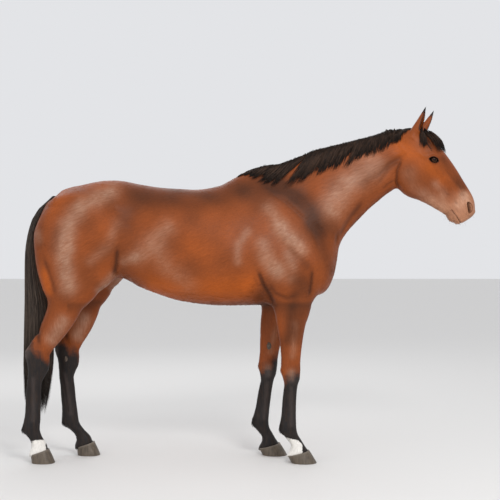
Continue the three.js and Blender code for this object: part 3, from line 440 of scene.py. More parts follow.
def with_eye(d, x, y, z, side):
    """Lids over the eyeball, parted in an almond, with the brow above."""
    ahead, above, out = eye_space(x, y, z, side)
    reach = np.sqrt(ahead ** 2 + above ** 2 + out ** 2)
    d = smooth_min(d, reach - EYE_RADIUS - 3.2, 16)
    almond = almond_of(ahead, above)
    opening = np.maximum(almond, EYE_RADIUS - 4 - reach)
    opening = np.maximum(opening, -out)
    thick_rims = np.exp(-((almond - 3.0) / 3.0) ** 2) * (out > 0)
    upper_fold = np.exp(-((almond - 9.5) / 2.2) ** 2) * (above > -4) * (out > 0)
    d = d - 3.0 * thick_rims + 1.6 * upper_fold
    return smooth_max(d, -opening, 2.0)


MOUTH = [[446, -20], [480, -19], [513, -16], [545, -13]]  # along the head and above its axis
NOSTRIL = (1255, 1429)


def nostril(x, z):
    """A tall oval: how far ahead of its middle points are, and a value that is 1 on its edge."""
    tilt = math.radians(8)
    ahead, above = x - NOSTRIL[0], z - NOSTRIL[1]
    across = ahead * math.cos(tilt) + above * math.sin(tilt)
    along = above * math.cos(tilt) - ahead * math.sin(tilt)
    return across, np.hypot((across + 0.006 * along ** 2 - 2) / 12.5, along / 27)


def with_muzzle(d, x, y, z):
    """Nostrils with raised rims, deepest at the rear, and the lips' line."""
    side = np.sign(y) + (y == 0)
    along, above = HEAD.local(x, z)
    across, oval = nostril(x, z)
    out = side * y
    depth = 9 + 19 * np.clip(0.5 - across / 20, 0, 1)
    hole = np.maximum((oval - 1) * 12, 54 - out - depth)
    d = d - 5.0 * np.exp(-((oval - 1.45) / 0.42) ** 2) * np.clip(out / 30, 0, 1)
    d = smooth_max(d, -hole, 5)
    # The upper lip laps over the lower.
    groove = to_path(MOUTH, along, above)
    return d + 6 * np.exp(-((groove / 3.2) ** 2))


def coronet(size, x):
    """The height of a hoof's hairline at x, which rises from heel to toe."""
    low, high = size["rise"]
    return low + (x - size["top_heel"]) / (size["top_toe"] - size["top_heel"]) * (high - low)


def above_hooves(d, x, y, z):
    """The legs end inside their hooves, a few millimetres below the hairline."""
    for pair, size in HOOF_SIZES.items():
        for side, stance in STANCE[pair].items():
            own = (side * y > 0) & (np.abs(x - stance - size["top_toe"] + 60) < 200)
            deep = (coronet(size, x - stance) - 7 - z) * 0.87
            d = np.where(own, smooth_max(d, deep, 5), d)
    return d


def flesh(x, y, z):
    """How far points are outside the CAD's flesh, in mm, with the ears, lids, nostrils and lips."""
    d = np.full(x.shape, 900.0)

    def join(form, where, reach):
        """Adds a form. It is worked out only near its own place, to save time."""
        if where.any():
            part = form.distance(x[where], y[where], z[where])
            d[where] = smooth_min(d[where], part, reach)

    join(TRUNK, z > 700, 1)
    for side in SIDES:
        near = (z < 1600) & (side * y > -120)
        join(LEGS["fore"][side], near & (np.abs(x - 180) < 620), 70)
        join(LEGS["hind"][side], near & (np.abs(x + 1000) < 620), 70)
    join(NECK, (x > -150) & (z > 850), 110)
    join(HEAD, (x > 700) & (z > 1150), 40)
    close = np.abs(d) < 40
    d[close] -= relief(x[close], y[close], z[close])
    for side in SIDES:
        join(EARS[side], (x > 870) & (z > 1790) & (side * y > -5), 16)
        eye = (x > 970) & (x < 1120) & (z > 1620) & (z < 1770) & (side * y > 20) & (np.abs(d) < 60)
        if eye.any():
            d[eye] = with_eye(d[eye], x[eye], y[eye], z[eye], side)
    muzzle = (x > 1120) & (z < 1520) & (np.abs(d) < 60)
    if muzzle.any():
        d[muzzle] = with_muzzle(d[muzzle], x[muzzle], y[muzzle], z[muzzle])
    low = z < 140
    if low.any():
        d[low] = above_hooves(d[low], x[low], y[low], z[low])
    return d


# ------------------------------------------------------------------ the skin's mesh


def grid_lines(stretches):
    """Grid lines along one axis: a start, then stretches that run to `end` in steps of about `step`."""
    lines = [stretches[0][0]]
    for end, step in stretches[1:]:
        count = max(int(round((end - lines[-1]) / step)), 1)
        lines.extend(np.linspace(lines[-1], end, count + 1)[1:])
    return np.array(lines)


COARSE = 1.0
X_LINES = grid_lines([(-1310, 0), (820, 8.5 * COARSE), (860, 5.0 * COARSE), (1005, 3.1 * COARSE),
                      (1090, 2.2 * COARSE), (1190, 4.0 * COARSE), (1325, 2.8 * COARSE)])
Y_HALF = grid_lines([(0, 0), (20, 6.0 * COARSE), (112, 2.9 * COARSE), (330, 8.0 * COARSE)])
Y_LINES = np.r_[-Y_HALF[:0:-1], Y_HALF]
Z_LINES = grid_lines([(5, 0), (260, 5.0 * COARSE), (900, 8.0 * COARSE), (1325, 9.0 * COARSE),
                      (1480, 3.6 * COARSE), (1655, 5.0 * COARSE), (1735, 2.2 * COARSE),
                      (1840, 5.0 * COARSE), (2010, 2.7 * COARSE)])
BLOCK = 8  # grid lines along a block: only the blocks near the skin are worked out in full


def skin_shell():
    """Vertices (mm) and quads of the surface that lies `COAT` inside the flesh, on the stretched grid."""
    # The grid lines are padded to whole blocks, and each block is first judged by its middle.
    lines = [X_LINES, Y_LINES, Z_LINES]
    counts = [-(-len(axis) // BLOCK) * BLOCK for axis in lines]
    lines = [np.r_[axis, axis[-1] + 3 * np.arange(1, n - len(axis) + 1)] for axis, n in zip(lines, counts)]
    middles = [axis.reshape(-1, BLOCK).mean(1) for axis in lines]
    halves = [np.ptp(axis.reshape(-1, BLOCK), axis=1) / 2 + 4 for axis in lines]
    cx, cy, cz = np.meshgrid(*middles, indexing="ij")
    far = flesh(cx.ravel(), cy.ravel(), cz.ravel()).reshape(cx.shape) + COAT
    hx, hy, hz = np.meshgrid(*halves, indexing="ij")
    near = np.abs(far) < 1.25 * np.sqrt(hx ** 2 + hy ** 2 + hz ** 2) + 12
    values = np.repeat(np.repeat(np.repeat(far, BLOCK, 0), BLOCK, 1), BLOCK, 2).astype(np.float32)
    inside = np.array(np.nonzero(near)).T
    steps = np.arange(BLOCK)
    for chunk in np.array_split(inside, max(len(inside) // 800, 1)):
        i = (chunk[:, 0, None] * BLOCK + steps)[:, :, None, None]
        j = (chunk[:, 1, None] * BLOCK + steps)[:, None, :, None]
        k = (chunk[:, 2, None] * BLOCK + steps)[:, None, None, :]
        i, j, k = np.broadcast_arrays(i, j, k)
        found = flesh(lines[0][i].ravel(), lines[1][j].ravel(), lines[2][k].ravel())
        values[i, j, k] = found.reshape(i.shape) + COAT
    most = 30.0
    grid = openvdb.FloatGrid(most)
    grid.copyFromArray(np.clip(values, -most, most), tolerance=0.0)
    points, quads = grid.convertToQuads(0.0)
    vertices = np.stack([np.interp(points[:, a], np.arange(len(lines[a])), lines[a]) for a in range(3)], 1)
    return vertices, quads


def slope_of(p, h=0.6):
    """The flesh's outward slope at points."""
    return np.stack([flesh(*(p + h * e).T) - flesh(*(p - h * e).T) for e in np.eye(3)], 1) / (2 * h)


def on_skin(p, rounds=3, most=2.0):
    """Points moved along the slope onto the skin, by no more than `most` in a round."""
    for _ in range(rounds):
        slope = slope_of(p)
        steep = np.maximum((slope ** 2).sum(1), 0.1)
        step = np.clip((flesh(*p.T) + COAT) / steep, -most, most)
        p = p - slope * step[:, None]
    return p


def mesh_object(name, vertices, faces, smooth=True):
    """A new object from vertices in metres; `faces` is an array of quads or triangles."""
    mesh = bpy.data.meshes.new(name)
    faces = np.asarray(faces, np.int32)
    mesh.vertices.add(len(vertices))
    mesh.vertices.foreach_set("co", np.asarray(vertices, np.float32).ravel())
    mesh.loops.add(faces.size)
    mesh.loops.foreach_set("vertex_index", faces.ravel())
    mesh.polygons.add(len(faces))
    mesh.polygons.foreach_set("loop_start", np.arange(0, faces.size, faces.shape[1], dtype=np.int32))
    mesh.polygons.foreach_set("use_smooth", np.full(len(faces), smooth))
    mesh.update(calc_edges=True)
    mesh.validate()
    piece = bpy.data.objects.new(name, mesh)
    bpy.context.scene.collection.objects.link(piece)
    return piece


# ------------------------------------------------------------------ markings


def ramp(value, start, end):
    """0 before `start`, 1 after `end`, smooth between."""
    s = np.clip((value - start) / (end - start), 0, 1)
    return s * s * (3 - 2 * s)


def ripple(p, period, seed, waves=9):
    """A smooth wander, mostly between -1 and 1, over distances of about `period` mm."""
    draw = np.random.default_rng(seed)
    aims = draw.normal(size=(waves, 3))
    aims *= (2 * math.pi / period * draw.uniform(0.6, 1.4, waves) / np.linalg.norm(aims, axis=1))[:, None]
    return np.sin(p @ aims.T + draw.uniform(0, 2 * math.pi, waves)).sum(1) * math.sqrt(2 / waves) / 1.4


# Painted highlights, where the coat is painted paler and greyer as if light shone on it: path, spread and
# strength.
PAINTED_SHINE = [
    ([[118, 1425], [195, 1305], [300, 1190]], 40, 0.6),
    ([[190, 1300], [262, 1215]], 52, 0.55),
    ([[88, 1215], [112, 1125], [160, 1072]], 44, 0.75),
    ([[160, 1100], [230, 1045]], 40, 0.45),
    ([[248, 1098], [218, 1165]], 30, 0.6),
    ([[1, 1292], [-49, 1223], [-54, 1128]], 24, 0.55),
    ([[-680, 1128], [-619, 1150]], 26, 0.6),
    ([[-760, 1510], [-900, 1440], [-984, 1340], [-1010, 1163], [-984, 988]], 48, 1.0),
    ([[-990, 1260], [-985, 1215]], 40, 0.5),
    ([[243, 505], [245, 470]], 22, 1.0),
    ([[243, 420], [244, 215]], 12, 0.55),
    ([[-1195, 470], [-1195, 240]], 12, 0.5),
    ([[-1228, 640], [-1234, 600]], 18, 0.8),
    ([[1244, 1468], [1226, 1500]], 24, 0.9),
    ([[-1165, 1285], [-1155, 1250]], 26, 0.5),
    ([[-720, 1330], [-760, 1220], [-860, 1130]], 30, 0.35),
    ([[-1021, 798], [-1090, 692]], 36, 0.9),
    ([[-749, 1045], [-820, 963]], 22, 0.8),
    ([[700, 1660], [540, 1545], [470, 1420]], 72, 0.85),
    ([[905, 1625], [950, 1520]], 40, 0.3),
    ([[1000, 1500], [1090, 1440]], 34, 0.6),
    ([[1060, 1560], [1110, 1500]], 26, 0.5),
    ([[1225, 1500], [1190, 1450]], 24, 0.75),
    ([[262, 780], [250, 600]], 20, 0.4),
    ([[-440, 1310], [-530, 1222], [-600, 1150]], 50, 0.5),
    ([[-500, 1200], [-440, 1090], [-328, 1000]], 55, 0.35),
]
# Tones, with path, spread and strength: below 0 darker, above 0 more orange. The band along the back is the
# coat's own darker back; the other dark patches, at the shoulder, elbow and forearm, on the flank, haunch and
# gaskin, beside the tail, down the nose and on the cheek and neck, are painted shade.
TONES_AND_SHADE = [
    ([[120, 1560], [-20, 1530], [-160, 1500], [-300, 1480], [-500, 1485], [-640, 1500]], 78, -0.7),
    ([[-640, 1430], [-720, 1330]], 60, -0.2),
    ([[-660, 1400], [-700, 1100]], 60, -0.22),
    ([[150, 1590], [290, 1460], [410, 1310]], 70, -0.85),
    ([[350, 1330], [430, 1190], [470, 1080]], 40, -0.4),
    ([[240, 1190], [330, 1105]], 24, -0.5),
    ([[270, 1020], [330, 1000]], 40, -0.3),
    ([[60, 1000], [95, 900]], 55, -0.6),
    ([[262, 940], [236, 850], [226, 760], [214, 690]], 32, -0.55),
    ([[0, 1500], [60, 1440]], 70, -0.25),
    ([[350, 1440], [280, 1490]], 60, -0.3),
    ([[-1170, 1300], [-1160, 1230]], 36, -0.4),
    ([[1105, 1700], [1165, 1612], [1222, 1535]], 24, -0.5),
    ([[925, 1640], [960, 1560]], 60, -0.35),
    ([[820, 1700], [640, 1560]], 30, -0.35),
    ([[312, 960], [290, 860], [262, 700]], 44, -0.45),
    ([[-1180, 1340], [-1190, 1220]], 46, -0.8),
    ([[-1040, 1290], [-1060, 1200]], 40, -0.4),
    ([[-1150, 740], [-1100, 930]], 26, -0.25),
    ([[870, 1760], [960, 1690]], 55, 0.7),
    ([[1030, 1650], [1085, 1580]], 36, 0.6),
    ([[-520, 985], [-150, 955], [20, 1000]], 66, 1.0),
    ([[-1040, 1500], [-1090, 1420]], 50, 0.4),
    ([[-1120, 1060], [-1100, 960]], 30, 0.8),
    ([[-200, 1240], [-420, 1230]], 110, 0.1),
]


def painted(patches, x, z):
    """The sum of the patches' strengths at points of the side view."""
    total = np.zeros_like(x)
    for path, spread, strength in patches:
        near = to_path(path, x, z) / spread
        total += strength * np.exp(-near * near)
    return total


def head_share(x, y, z):
    """1 on the head, 0 on the neck, and a smooth passage behind the cheek."""
    return ramp(NECK.distance(x, y, z) - HEAD.distance(x, y, z), -15, 35) * (x > 780)


def socks(pair, x, z):
    """How far inside a pastern's white points are. A dark strip is left down the front of each."""
    if pair == "fore":
        under_slant = ((143 - z) * 78 - (x - 212) * 17) / 80
        behind_strip = 304 - x - 0.9 * np.clip(z - 104, 0, None)
        return np.minimum(under_slant, behind_strip)
    under_arch = 131 - z - ((x + 1166) / 13) ** 2
    behind_strip = -1129 - x + (110 - z) * 0.1
    return np.minimum(under_arch, behind_strip)


def markings(p):
    """Four masks and four weights for points of the coat, which skin and tufts share.

    The masks are black, white (0.5 on its edge), tone (0.5 is plain bay; lower is darker coat and painted
    shade, higher more orange) and tan. The weights are how far a point is on the head and on the legs, how
    much painted shade darkens it in creases and hollows (with dark skin in the nostrils), and how much
    painted highlight it gets.
    """
    x, y, z = p.T
    side = np.where(y < 0, RIGHT, LEFT)
    head = head_share(x, y, z)
    leg = ramp(z, 940, 790)
    fore = x > LOIN_X
    at = x.copy()  # where the point would be if its hoof stood where the right one does
    for pair, belongs in (("fore", fore), ("hind", ~fore)):
        for s in SIDES:
            own = belongs & (side == s)
            at[own] -= LEGS[pair][s].shift(z[own])
    waver = ripple(p, 70, 3) * 16 + ripple(p, 24, 4) * 6

    # The black of a leg ends at `edge`, which slopes from the back of the leg to its front.
    front = np.clip((at - np.where(fore, 240, -1168)) / 55, -1.2, 1.2)
    knee = np.where(side == RIGHT, 505 + np.where(front > 0, 15, 75) * front, 525 + 40 * front)
    hock = 628 - 46 * front
    edge = np.where(fore, knee, hock)
    soft = 66
    black = ramp(z + waver, edge + soft, edge - soft) * (leg > 0)
    sock = np.where(fore, socks("fore", x, z), socks("hind", x, z))
    white = np.where((side == RIGHT) & (z < 200), sock, -40)

    along, above = HEAD.local(x, z)
    tan = head * ramp(along + 0.35 * (60 - above) + waver * 0.6, 335, 500)
    # The painted shade beside the tail fades on the buttocks' rear face.
    rear_face = ramp(x, -1110, -1160) * ramp(np.abs(y), 250, 170) * ramp(z, 1050, 1120)  # of the buttocks
    tone_and_shade = np.clip(painted(TONES_AND_SHADE, x, z), -1, 1) * (1 - 0.85 * rear_face) + 0.12 * ripple(p, 160, 5)
    # Painted shade on the belly's underside.
    tone_and_shade = tone_and_shade - 0.7 * ramp(z, 912, 880) * (1 - leg) * (np.abs(x + 300) < 700)  # the belly's underside
    # Painted highlights, weaker where the painted shade is.
    painted_shine = painted(PAINTED_SHINE, at, z) * (1 + 0.15 * ripple(p, 90, 6)) * (1 - 0.8 * np.clip(-tone_and_shade, 0, 1))
    # Painted shade in the narrower furrows of the relief.
    hollow_shade_and_dark_skin = np.clip(-relief(x, y, z, 17) / 9, 0, 1) ** 1.4

    # Dark skin shows at the ears' rims and tips, round the eyes and round the nostrils. Painted shade darkens
    # the ears' insides, the nostrils (whose skin is dark too) and the lips' line.
    for s, ear in EARS.items():
        own = (x > 880) & (z > 1815) & (s * y > 5)
        if own.any():
            share, gap = ear.from_slit(p[own])
            rim = np.exp(-(gap / 5.5) ** 2) * ramp(share, 0.0, 0.12)
            dark = np.maximum(rim * 0.9, ramp(share, 0.66, 0.9))
            black[own] = np.maximum(black[own], dark)
            inside = ear.inside(p[own])
            hollow_shade_and_dark_skin[own] = np.maximum(hollow_shade_and_dark_skin[own], 0.6 * inside * ramp(share, 0.6, 0.1))
            tone_and_shade[own] = np.where(inside > 0.5, 0.8, tone_and_shade[own])
    for s in SIDES:
        ahead, up, out = eye_space(x, y, z, s)
        rim = np.exp(-(np.clip(almond_of(ahead, up), 0, None) / 4.8) ** 2) * (np.abs(out) < 40)
        black = np.maximum(black, rim)
    across, oval = nostril(x, z)
    snout = head * (along > 440) * (np.abs(y) > 12)
    hole = snout * ramp(oval, 1.08, 0.8)
    hollow_shade_and_dark_skin = np.maximum(hollow_shade_and_dark_skin, hole * ramp(across, 14, -6))
    lips = head * np.exp(-(to_path(MOUTH, along, above) / 2.6) ** 2)
    hollow_shade_and_dark_skin = np.maximum(hollow_shade_and_dark_skin, 0.9 * lips)
    black = np.maximum(black, 0.3 * head * ramp(np.abs(oval - 1.15), 0.3, 0.0) * (snout > 0))

    masks = np.stack([black, 0.5 + white / 80, 0.5 + tone_and_shade / 2, tan], 1)
    weights = np.stack([head, leg, hollow_shade_and_dark_skin, painted_shine], 1)
    return np.clip(masks, 0, 1), np.clip(weights, 0, 1)


def give(piece, name, values):
    """A colour or vector for each vertex."""
    kind = {4: ("FLOAT_COLOR", "color"), 3: ("FLOAT_VECTOR", "vector")}[values.shape[1]]
    layer = piece.data.attributes.new(name, kind[0], "POINT")
    layer.data.foreach_set(kind[1], np.asarray(values, np.float32).ravel())


# ------------------------------------------------------------------ materials


class Paint:
    """A short way to write one material's nodes."""

    def __init__(self, name):
        self.material = bpy.data.materials.new(name)
        self.material.use_nodes = True
        self.tree = self.material.node_tree
        self.shader = self.tree.nodes["Principled BSDF"]

    def node(self, kind, inputs=(), **settings):
        node = self.tree.nodes.new("ShaderNode" + kind)
        for key, value in settings.items():
            setattr(node, key, value)
        for key, value in dict(inputs).items():
            self.join(value, node.inputs[key])
        return node

    def join(self, value, socket):
        if isinstance(value, bpy.types.NodeSocket):
            self.tree.links.new(value, socket)
        else:
            socket.default_value = value

    def math(self, operation, a, b=0.0, clamp=False):
        return self.node("Math", {0: a, 1: b}, operation=operation, use_clamp=clamp).outputs[0]

    def times(self, a, b):
        return self.math("MULTIPLY", a, b)

    def plus(self, a, b):
        return self.math("ADD", a, b)

    def attribute(self, name):
        """The red, green, blue and alpha of a vertex attribute."""
        source = self.node("Attribute", attribute_name=name)
        split = self.node("SeparateColor", {"Color": source.outputs["Color"]})
        return [*split.outputs[:3], source.outputs["Alpha"]]

    def noise(self, scale, detail=2.0, aim=None, stretch=1.0, rough=0.5):
        """Noise over the object's own coordinates, drawn out along `aim`, a direction in side view."""
        place = self.node("TexCoord").outputs["Object"]
        if aim is not None:
            turn = math.atan2(aim[1], aim[0])
            mapping = self.node("Mapping", {"Vector": place}, vector_type="TEXTURE")
            mapping.inputs["Rotation"].default_value = (0, -turn, 0)
            mapping.inputs["Scale"].default_value = (stretch, 1, 1)
            place = mapping.outputs[0]
        inputs = {"Vector": place, "Scale": scale, "Detail": detail, "Roughness": rough}
        return self.node("TexNoise", inputs).outputs["Fac"]

    def remap(self, value, low, high, to_low=0.0, to_high=1.0):
        """A value between low and high, carried over to between to_low and to_high."""
        inputs = {"Value": value, "From Min": low, "From Max": high, "To Min": to_low, "To Max": to_high}
        return self.node("MapRange", inputs).outputs[0]

    def mix(self, share, a, b, blend="MIX"):
        """A colour between two others."""
        node = self.node("Mix", data_type="RGBA", blend_type=blend)
        for value, socket in ((share, node.inputs[0]), (a, node.inputs[6]), (b, node.inputs[7])):
            self.join((*value, 1) if isinstance(value, tuple) else value, socket)
        return node.outputs[2]

    def lit(self, colour, lightness):
        """A colour times a number."""
        grey = self.node("CombineColor", {0: lightness, 1: lightness, 2: lightness}).outputs[0]
        return self.mix(1.0, colour, grey, "MULTIPLY")

    def blend(self, share, a, b):
        """A number between two others."""
        return self.node("Mix", {0: share, 2: a, 3: b}).outputs[0]

    def bump(self, height, distance, strength=1.0, under=None):
        inputs = {"Height": height, "Distance": distance, "Strength": strength}
        if under:
            inputs["Normal"] = under
        return self.node("Bump", inputs).outputs[0]

    def finish(self, colour, roughness, normal=None, **fixed):
        """Joins the last nodes to the shader, and sets its `fixed` values."""
        self.join(colour, self.shader.inputs["Base Color"])
        self.join(roughness, self.shader.inputs["Roughness"])
        if normal:
            self.join(normal, self.shader.inputs["Normal"])
        for name, value in fixed.items():
            self.shader.inputs[name.replace("_", " ")].default_value = value
        return self.material


LEG_LIE = (0.0, -1.0)
LIES = [(-0.9, -0.43), (0.543, -0.84), LEG_LIE]  # how hair lies in side view, on trunk, head and legs
BAY = (0.245, 0.058, 0.013)
# The darker coat of the back, also used as painted shade.
DARK_BAY_AND_SHADE = (0.074, 0.022, 0.008)
ORANGE_BAY = (0.410, 0.088, 0.011)
# The colour of the painted highlights.
PAINTED_HIGHLIGHT = (0.390, 0.215, 0.140)
BLACK_COAT = (0.020, 0.017, 0.017)
BROWN_BLACK = (0.030, 0.021, 0.017)
# A painted highlight on the black points.
HIGHLIGHT_ON_BLACK = (0.120, 0.090, 0.080)
WHITE_COAT = (0.780, 0.750, 0.700)
TAN_MUZZLE = (0.410, 0.185, 0.102)
# A painted highlight on the tan muzzle.
MUZZLE_HIGHLIGHT = (0.640, 0.360, 0.230)
# The colour of painted shade in creases and hollows, and of the nostrils' dark skin.
SHADE_AND_DARK_SKIN = (0.020, 0.008, 0.005)


def bay_paint():
    """Short bay coat: black points, two white pasterns, a tan muzzle and fine hair along its lie, with
    painted highlights and painted shade.
    """
    paint = Paint("bay_coat")
    black, white, tone_and_shade, tan = paint.attribute("masks")
    head, leg, hollow_shade_and_dark_skin, painted_shine = paint.attribute("weights")

    def brushed(scale, detail, stretch):
        """Streaks along the hair's lie on the trunk, the head and the legs."""
        trunk, face, limb = (paint.noise(scale, detail, aim, stretch) for aim in LIES)
        return paint.blend(leg, paint.blend(head, trunk, face), limb)

    hair = brushed(420.0, 2.0, 9.0)
    streaks = brushed(110.0, 3.0, 7.0)
    clouds = paint.noise(7.0, 3.0)

    # Darker coat and painted shade below the middle tone, more orange above it.
    colour = paint.mix(paint.remap(tone_and_shade, 0.5, 0.0), BAY, DARK_BAY_AND_SHADE)
    colour = paint.mix(paint.remap(tone_and_shade, 0.5, 1.0), colour, ORANGE_BAY)
    # Painted highlights, streaked along the hair: a pale greyish bay, and a pale tan on the muzzle.
    highlight_share = paint.times(painted_shine, paint.remap(streaks, 0.3, 0.7, 0.5, 0.86))
    colour = paint.mix(highlight_share, colour, PAINTED_HIGHLIGHT)
    colour = paint.mix(tan, colour, paint.mix(highlight_share, TAN_MUZZLE, MUZZLE_HIGHLIGHT))
    black_hair = paint.mix(paint.remap(streaks, 0.4, 0.7), BLACK_COAT, BROWN_BLACK)
    # Painted highlights on the black points, as on the knees and cannons.
    black_hair = paint.mix(paint.times(painted_shine, 0.5), black_hair, HIGHLIGHT_ON_BLACK)
    edge = paint.plus(black, paint.remap(streaks, 0.3, 0.7, -0.16, 0.16))
    on_edge = paint.times(paint.times(black, paint.math("SUBTRACT", 1.0, black)), 4.0)
    edge = paint.blend(on_edge, black, edge)
    colour = paint.mix(paint.remap(edge, 0.08, 0.92), colour, black_hair)
    ragged = paint.plus(white, paint.remap(hair, 0.3, 0.7, -0.035, 0.035))
    colour = paint.mix(paint.remap(ragged, 0.485, 0.515), colour, WHITE_COAT)
    # Painted shade in creases and hollows, with the nostrils' dark skin.
    colour = paint.mix(paint.times(hollow_shade_and_dark_skin, 0.62), colour, SHADE_AND_DARK_SKIN)
    lightness = paint.remap(clouds, 0.3, 0.7, 0.9, 1.1)
    lightness = paint.times(lightness, paint.remap(streaks, 0.25, 0.75, 0.93, 1.07))
    lightness = paint.times(lightness, paint.remap(hair, 0.2, 0.8, 0.8, 1.2))
    colour = paint.lit(colour, lightness)

    roughness = paint.plus(paint.remap(hair, 0.2, 0.8, 0.36, 0.52), paint.times(painted_shine, -0.05))
    normal = paint.bump(streaks, 0.0022, 0.5)
    normal = paint.bump(hair, 0.0009, 0.7, normal)
    return paint.finish(colour, roughness, normal, Sheen_Weight=0.006, Sheen_Roughness=0.4, IOR=1.24)


def strand_paint(name, deep, brown, lie, tips):
    """Long black hair: each lock has its own share of brown, which shows most at its middle as a painted
    highlight, and fine lines run along it.
    """
    paint = Paint(name)
    own, along, *_ = paint.attribute("strand")
    lines = paint.noise(900.0, 2.0, lie, 30.0)
    bands = paint.noise(160.0, 2.0, lie, 12.0)
    # The brown is strongest at a lock's middle: the lock's own brown with a painted highlight.
    from_middle = paint.math("ABSOLUTE", paint.math("SUBTRACT", paint.times(along, 2.0), 0.9))
    share = paint.times(paint.math("POWER", own, 1.5), paint.remap(from_middle, 0.95, 0.2))
    colour = paint.mix(share, deep, brown)
    colour = paint.mix(paint.remap(bands, 0.45, 0.75, 0.0, 0.45), colour, brown)
    colour = paint.mix(paint.remap(along, 0.8, 1.0, 0.0, 0.6), colour, tips)
    colour = paint.lit(colour, paint.remap(lines, 0.25, 0.75, 0.6, 1.35))
    roughness = paint.remap(lines, 0.2, 0.8, 0.38, 0.55)
    return paint.finish(colour, roughness, paint.bump(lines, 0.0008, 0.8), IOR=1.25)


def horn_paint():
    """Grey-brown hoof horn: fine tubes down the wall, growth rings and a paler band below the hairline."""
    paint = Paint("hoof_horn")
    height, sole, *_ = paint.attribute("horn")
    tubes = paint.noise(700.0, 2.0, LEG_LIE, 26.0)
    stripes = paint.noise(90.0, 3.0, LEG_LIE, 7.0)
    wobble = paint.plus(height, paint.remap(stripes, 0.0, 1.0, -0.03, 0.03))
    rings = paint.math("SINE", paint.times(wobble, 34.0))
    brown, dark, new_horn = (0.120, 0.090, 0.060), (0.060, 0.044, 0.030), (0.210, 0.175, 0.140)
    ring_line, tube_line = (0.160, 0.130, 0.100), (0.170, 0.135, 0.100)
    darker_ground_edge, sole_horn = (0.100, 0.075, 0.050), (0.140, 0.120, 0.100)
    colour = paint.mix(paint.remap(stripes, 0.35, 0.7), brown, dark)
    colour = paint.mix(paint.remap(height, 0.84, 0.98, 0.0, 0.6), colour, new_horn)
    colour = paint.mix(paint.remap(rings, 0.2, 1.0, 0.0, 0.03), colour, ring_line)
    colour = paint.mix(paint.remap(tubes, 0.4, 0.8, 0.0, 0.25), colour, tube_line)
    # The wall is darker towards the ground.
    colour = paint.mix(paint.remap(height, 0.14, 0.0, 0.0, 0.45), colour, darker_ground_edge)
    colour = paint.mix(paint.times(sole, 0.8), colour, sole_horn)
    roughness = paint.remap(stripes, 0.2, 0.8, 0.38, 0.6)
    normal = paint.bump(rings, 0.0004, 0.15, paint.bump(tubes, 0.0005, 0.4))
    return paint.finish(colour, roughness, normal, IOR=1.5)


def eye_paint():
    """A wet eye: dark brown iris with fine rays, a long level pupil, and a darker rim."""
    paint = Paint("wet_eye")
    gaze = paint.node("Attribute", attribute_name="gaze").outputs["Vector"]
    along, above = paint.node("SeparateXYZ", {0: gaze}).outputs[:2]
    level, upright = (paint.math("POWER", paint.math("ABSOLUTE", paint.math("DIVIDE", part, half)), 2.4)
                      for part, half in ((along, 0.36), (above, 0.17)))
    pupil = paint.remap(paint.plus(level, upright), 1.25, 0.9)
    ring = paint.math("SQRT", paint.plus(paint.math("POWER", along, 2.0), paint.math("POWER", above, 2.0)))
    rays = paint.node("TexNoise", {"Vector": gaze, "Scale": 22.0, "Detail": 3.0}).outputs["Fac"]
    iris, iris_ray, iris_rim = (0.016, 0.006, 0.002), (0.060, 0.022, 0.008), (0.006, 0.003, 0.002)
    outer_ball, pupil_black = (0.014, 0.009, 0.007), (0.002, 0.002, 0.004)
    colour = paint.mix(rays, iris, iris_ray)
    colour = paint.mix(paint.remap(ring, 0.55, 0.74), colour, iris_rim)
    colour = paint.mix(paint.remap(ring, 0.8, 0.9), colour, outer_ball)
    colour = paint.mix(pupil, colour, pupil_black)
    return paint.finish(colour, paint.remap(rays, 0.3, 0.7, 0.03, 0.06), None, IOR=1.22)


def callus_paint():
    """Chestnuts: dull, cracked, grey-brown horn."""
    paint = Paint("chestnut_horn")
    cracks = paint.noise(260.0, 4.0)
    crack, callus = (0.035, 0.024, 0.018), (0.160, 0.115, 0.085)
    colour = paint.mix(paint.remap(cracks, 0.35, 0.65), crack, callus)
    return paint.finish(colour, 0.75, paint.bump(cracks, 0.0015, 0.8))


# ------------------------------------------------------------------ the skin

def dress(piece, material, slot, *nodes):
    """Gives a piece its material and its body, and hides the CAD nodes it stands for. The slot is not used.
    """
    piece.data.materials.append(material)
    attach(piece, "root")
    if nodes:
        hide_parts(*nodes)


shell, quads = skin_shell()
shell = on_skin(shell)
skin = mesh_object("skin", placed(shell), quads)
masks, weights = markings(shell)
give(skin, "masks", masks)
give(skin, "weights", weights)
BAY_COAT = bay_paint()
PAIRED = ("forearm", "fore_cannon", "fore_pastern", "thigh", "gaskin", "hind_cannon", "hind_pastern", "ear")
dress(skin, BAY_COAT, "bay_coat", "head", "neck", "forequarters", "barrel", "croup",
      *(f"{part}_{name}" for part in PAIRED for name in SIDES.values()))


# ------------------------------------------------------------------ locks of hair


def unit(v):
    """Vectors made one unit long."""
    return v / np.maximum(np.linalg.norm(v, axis=-1, keepdims=True), 1e-9)


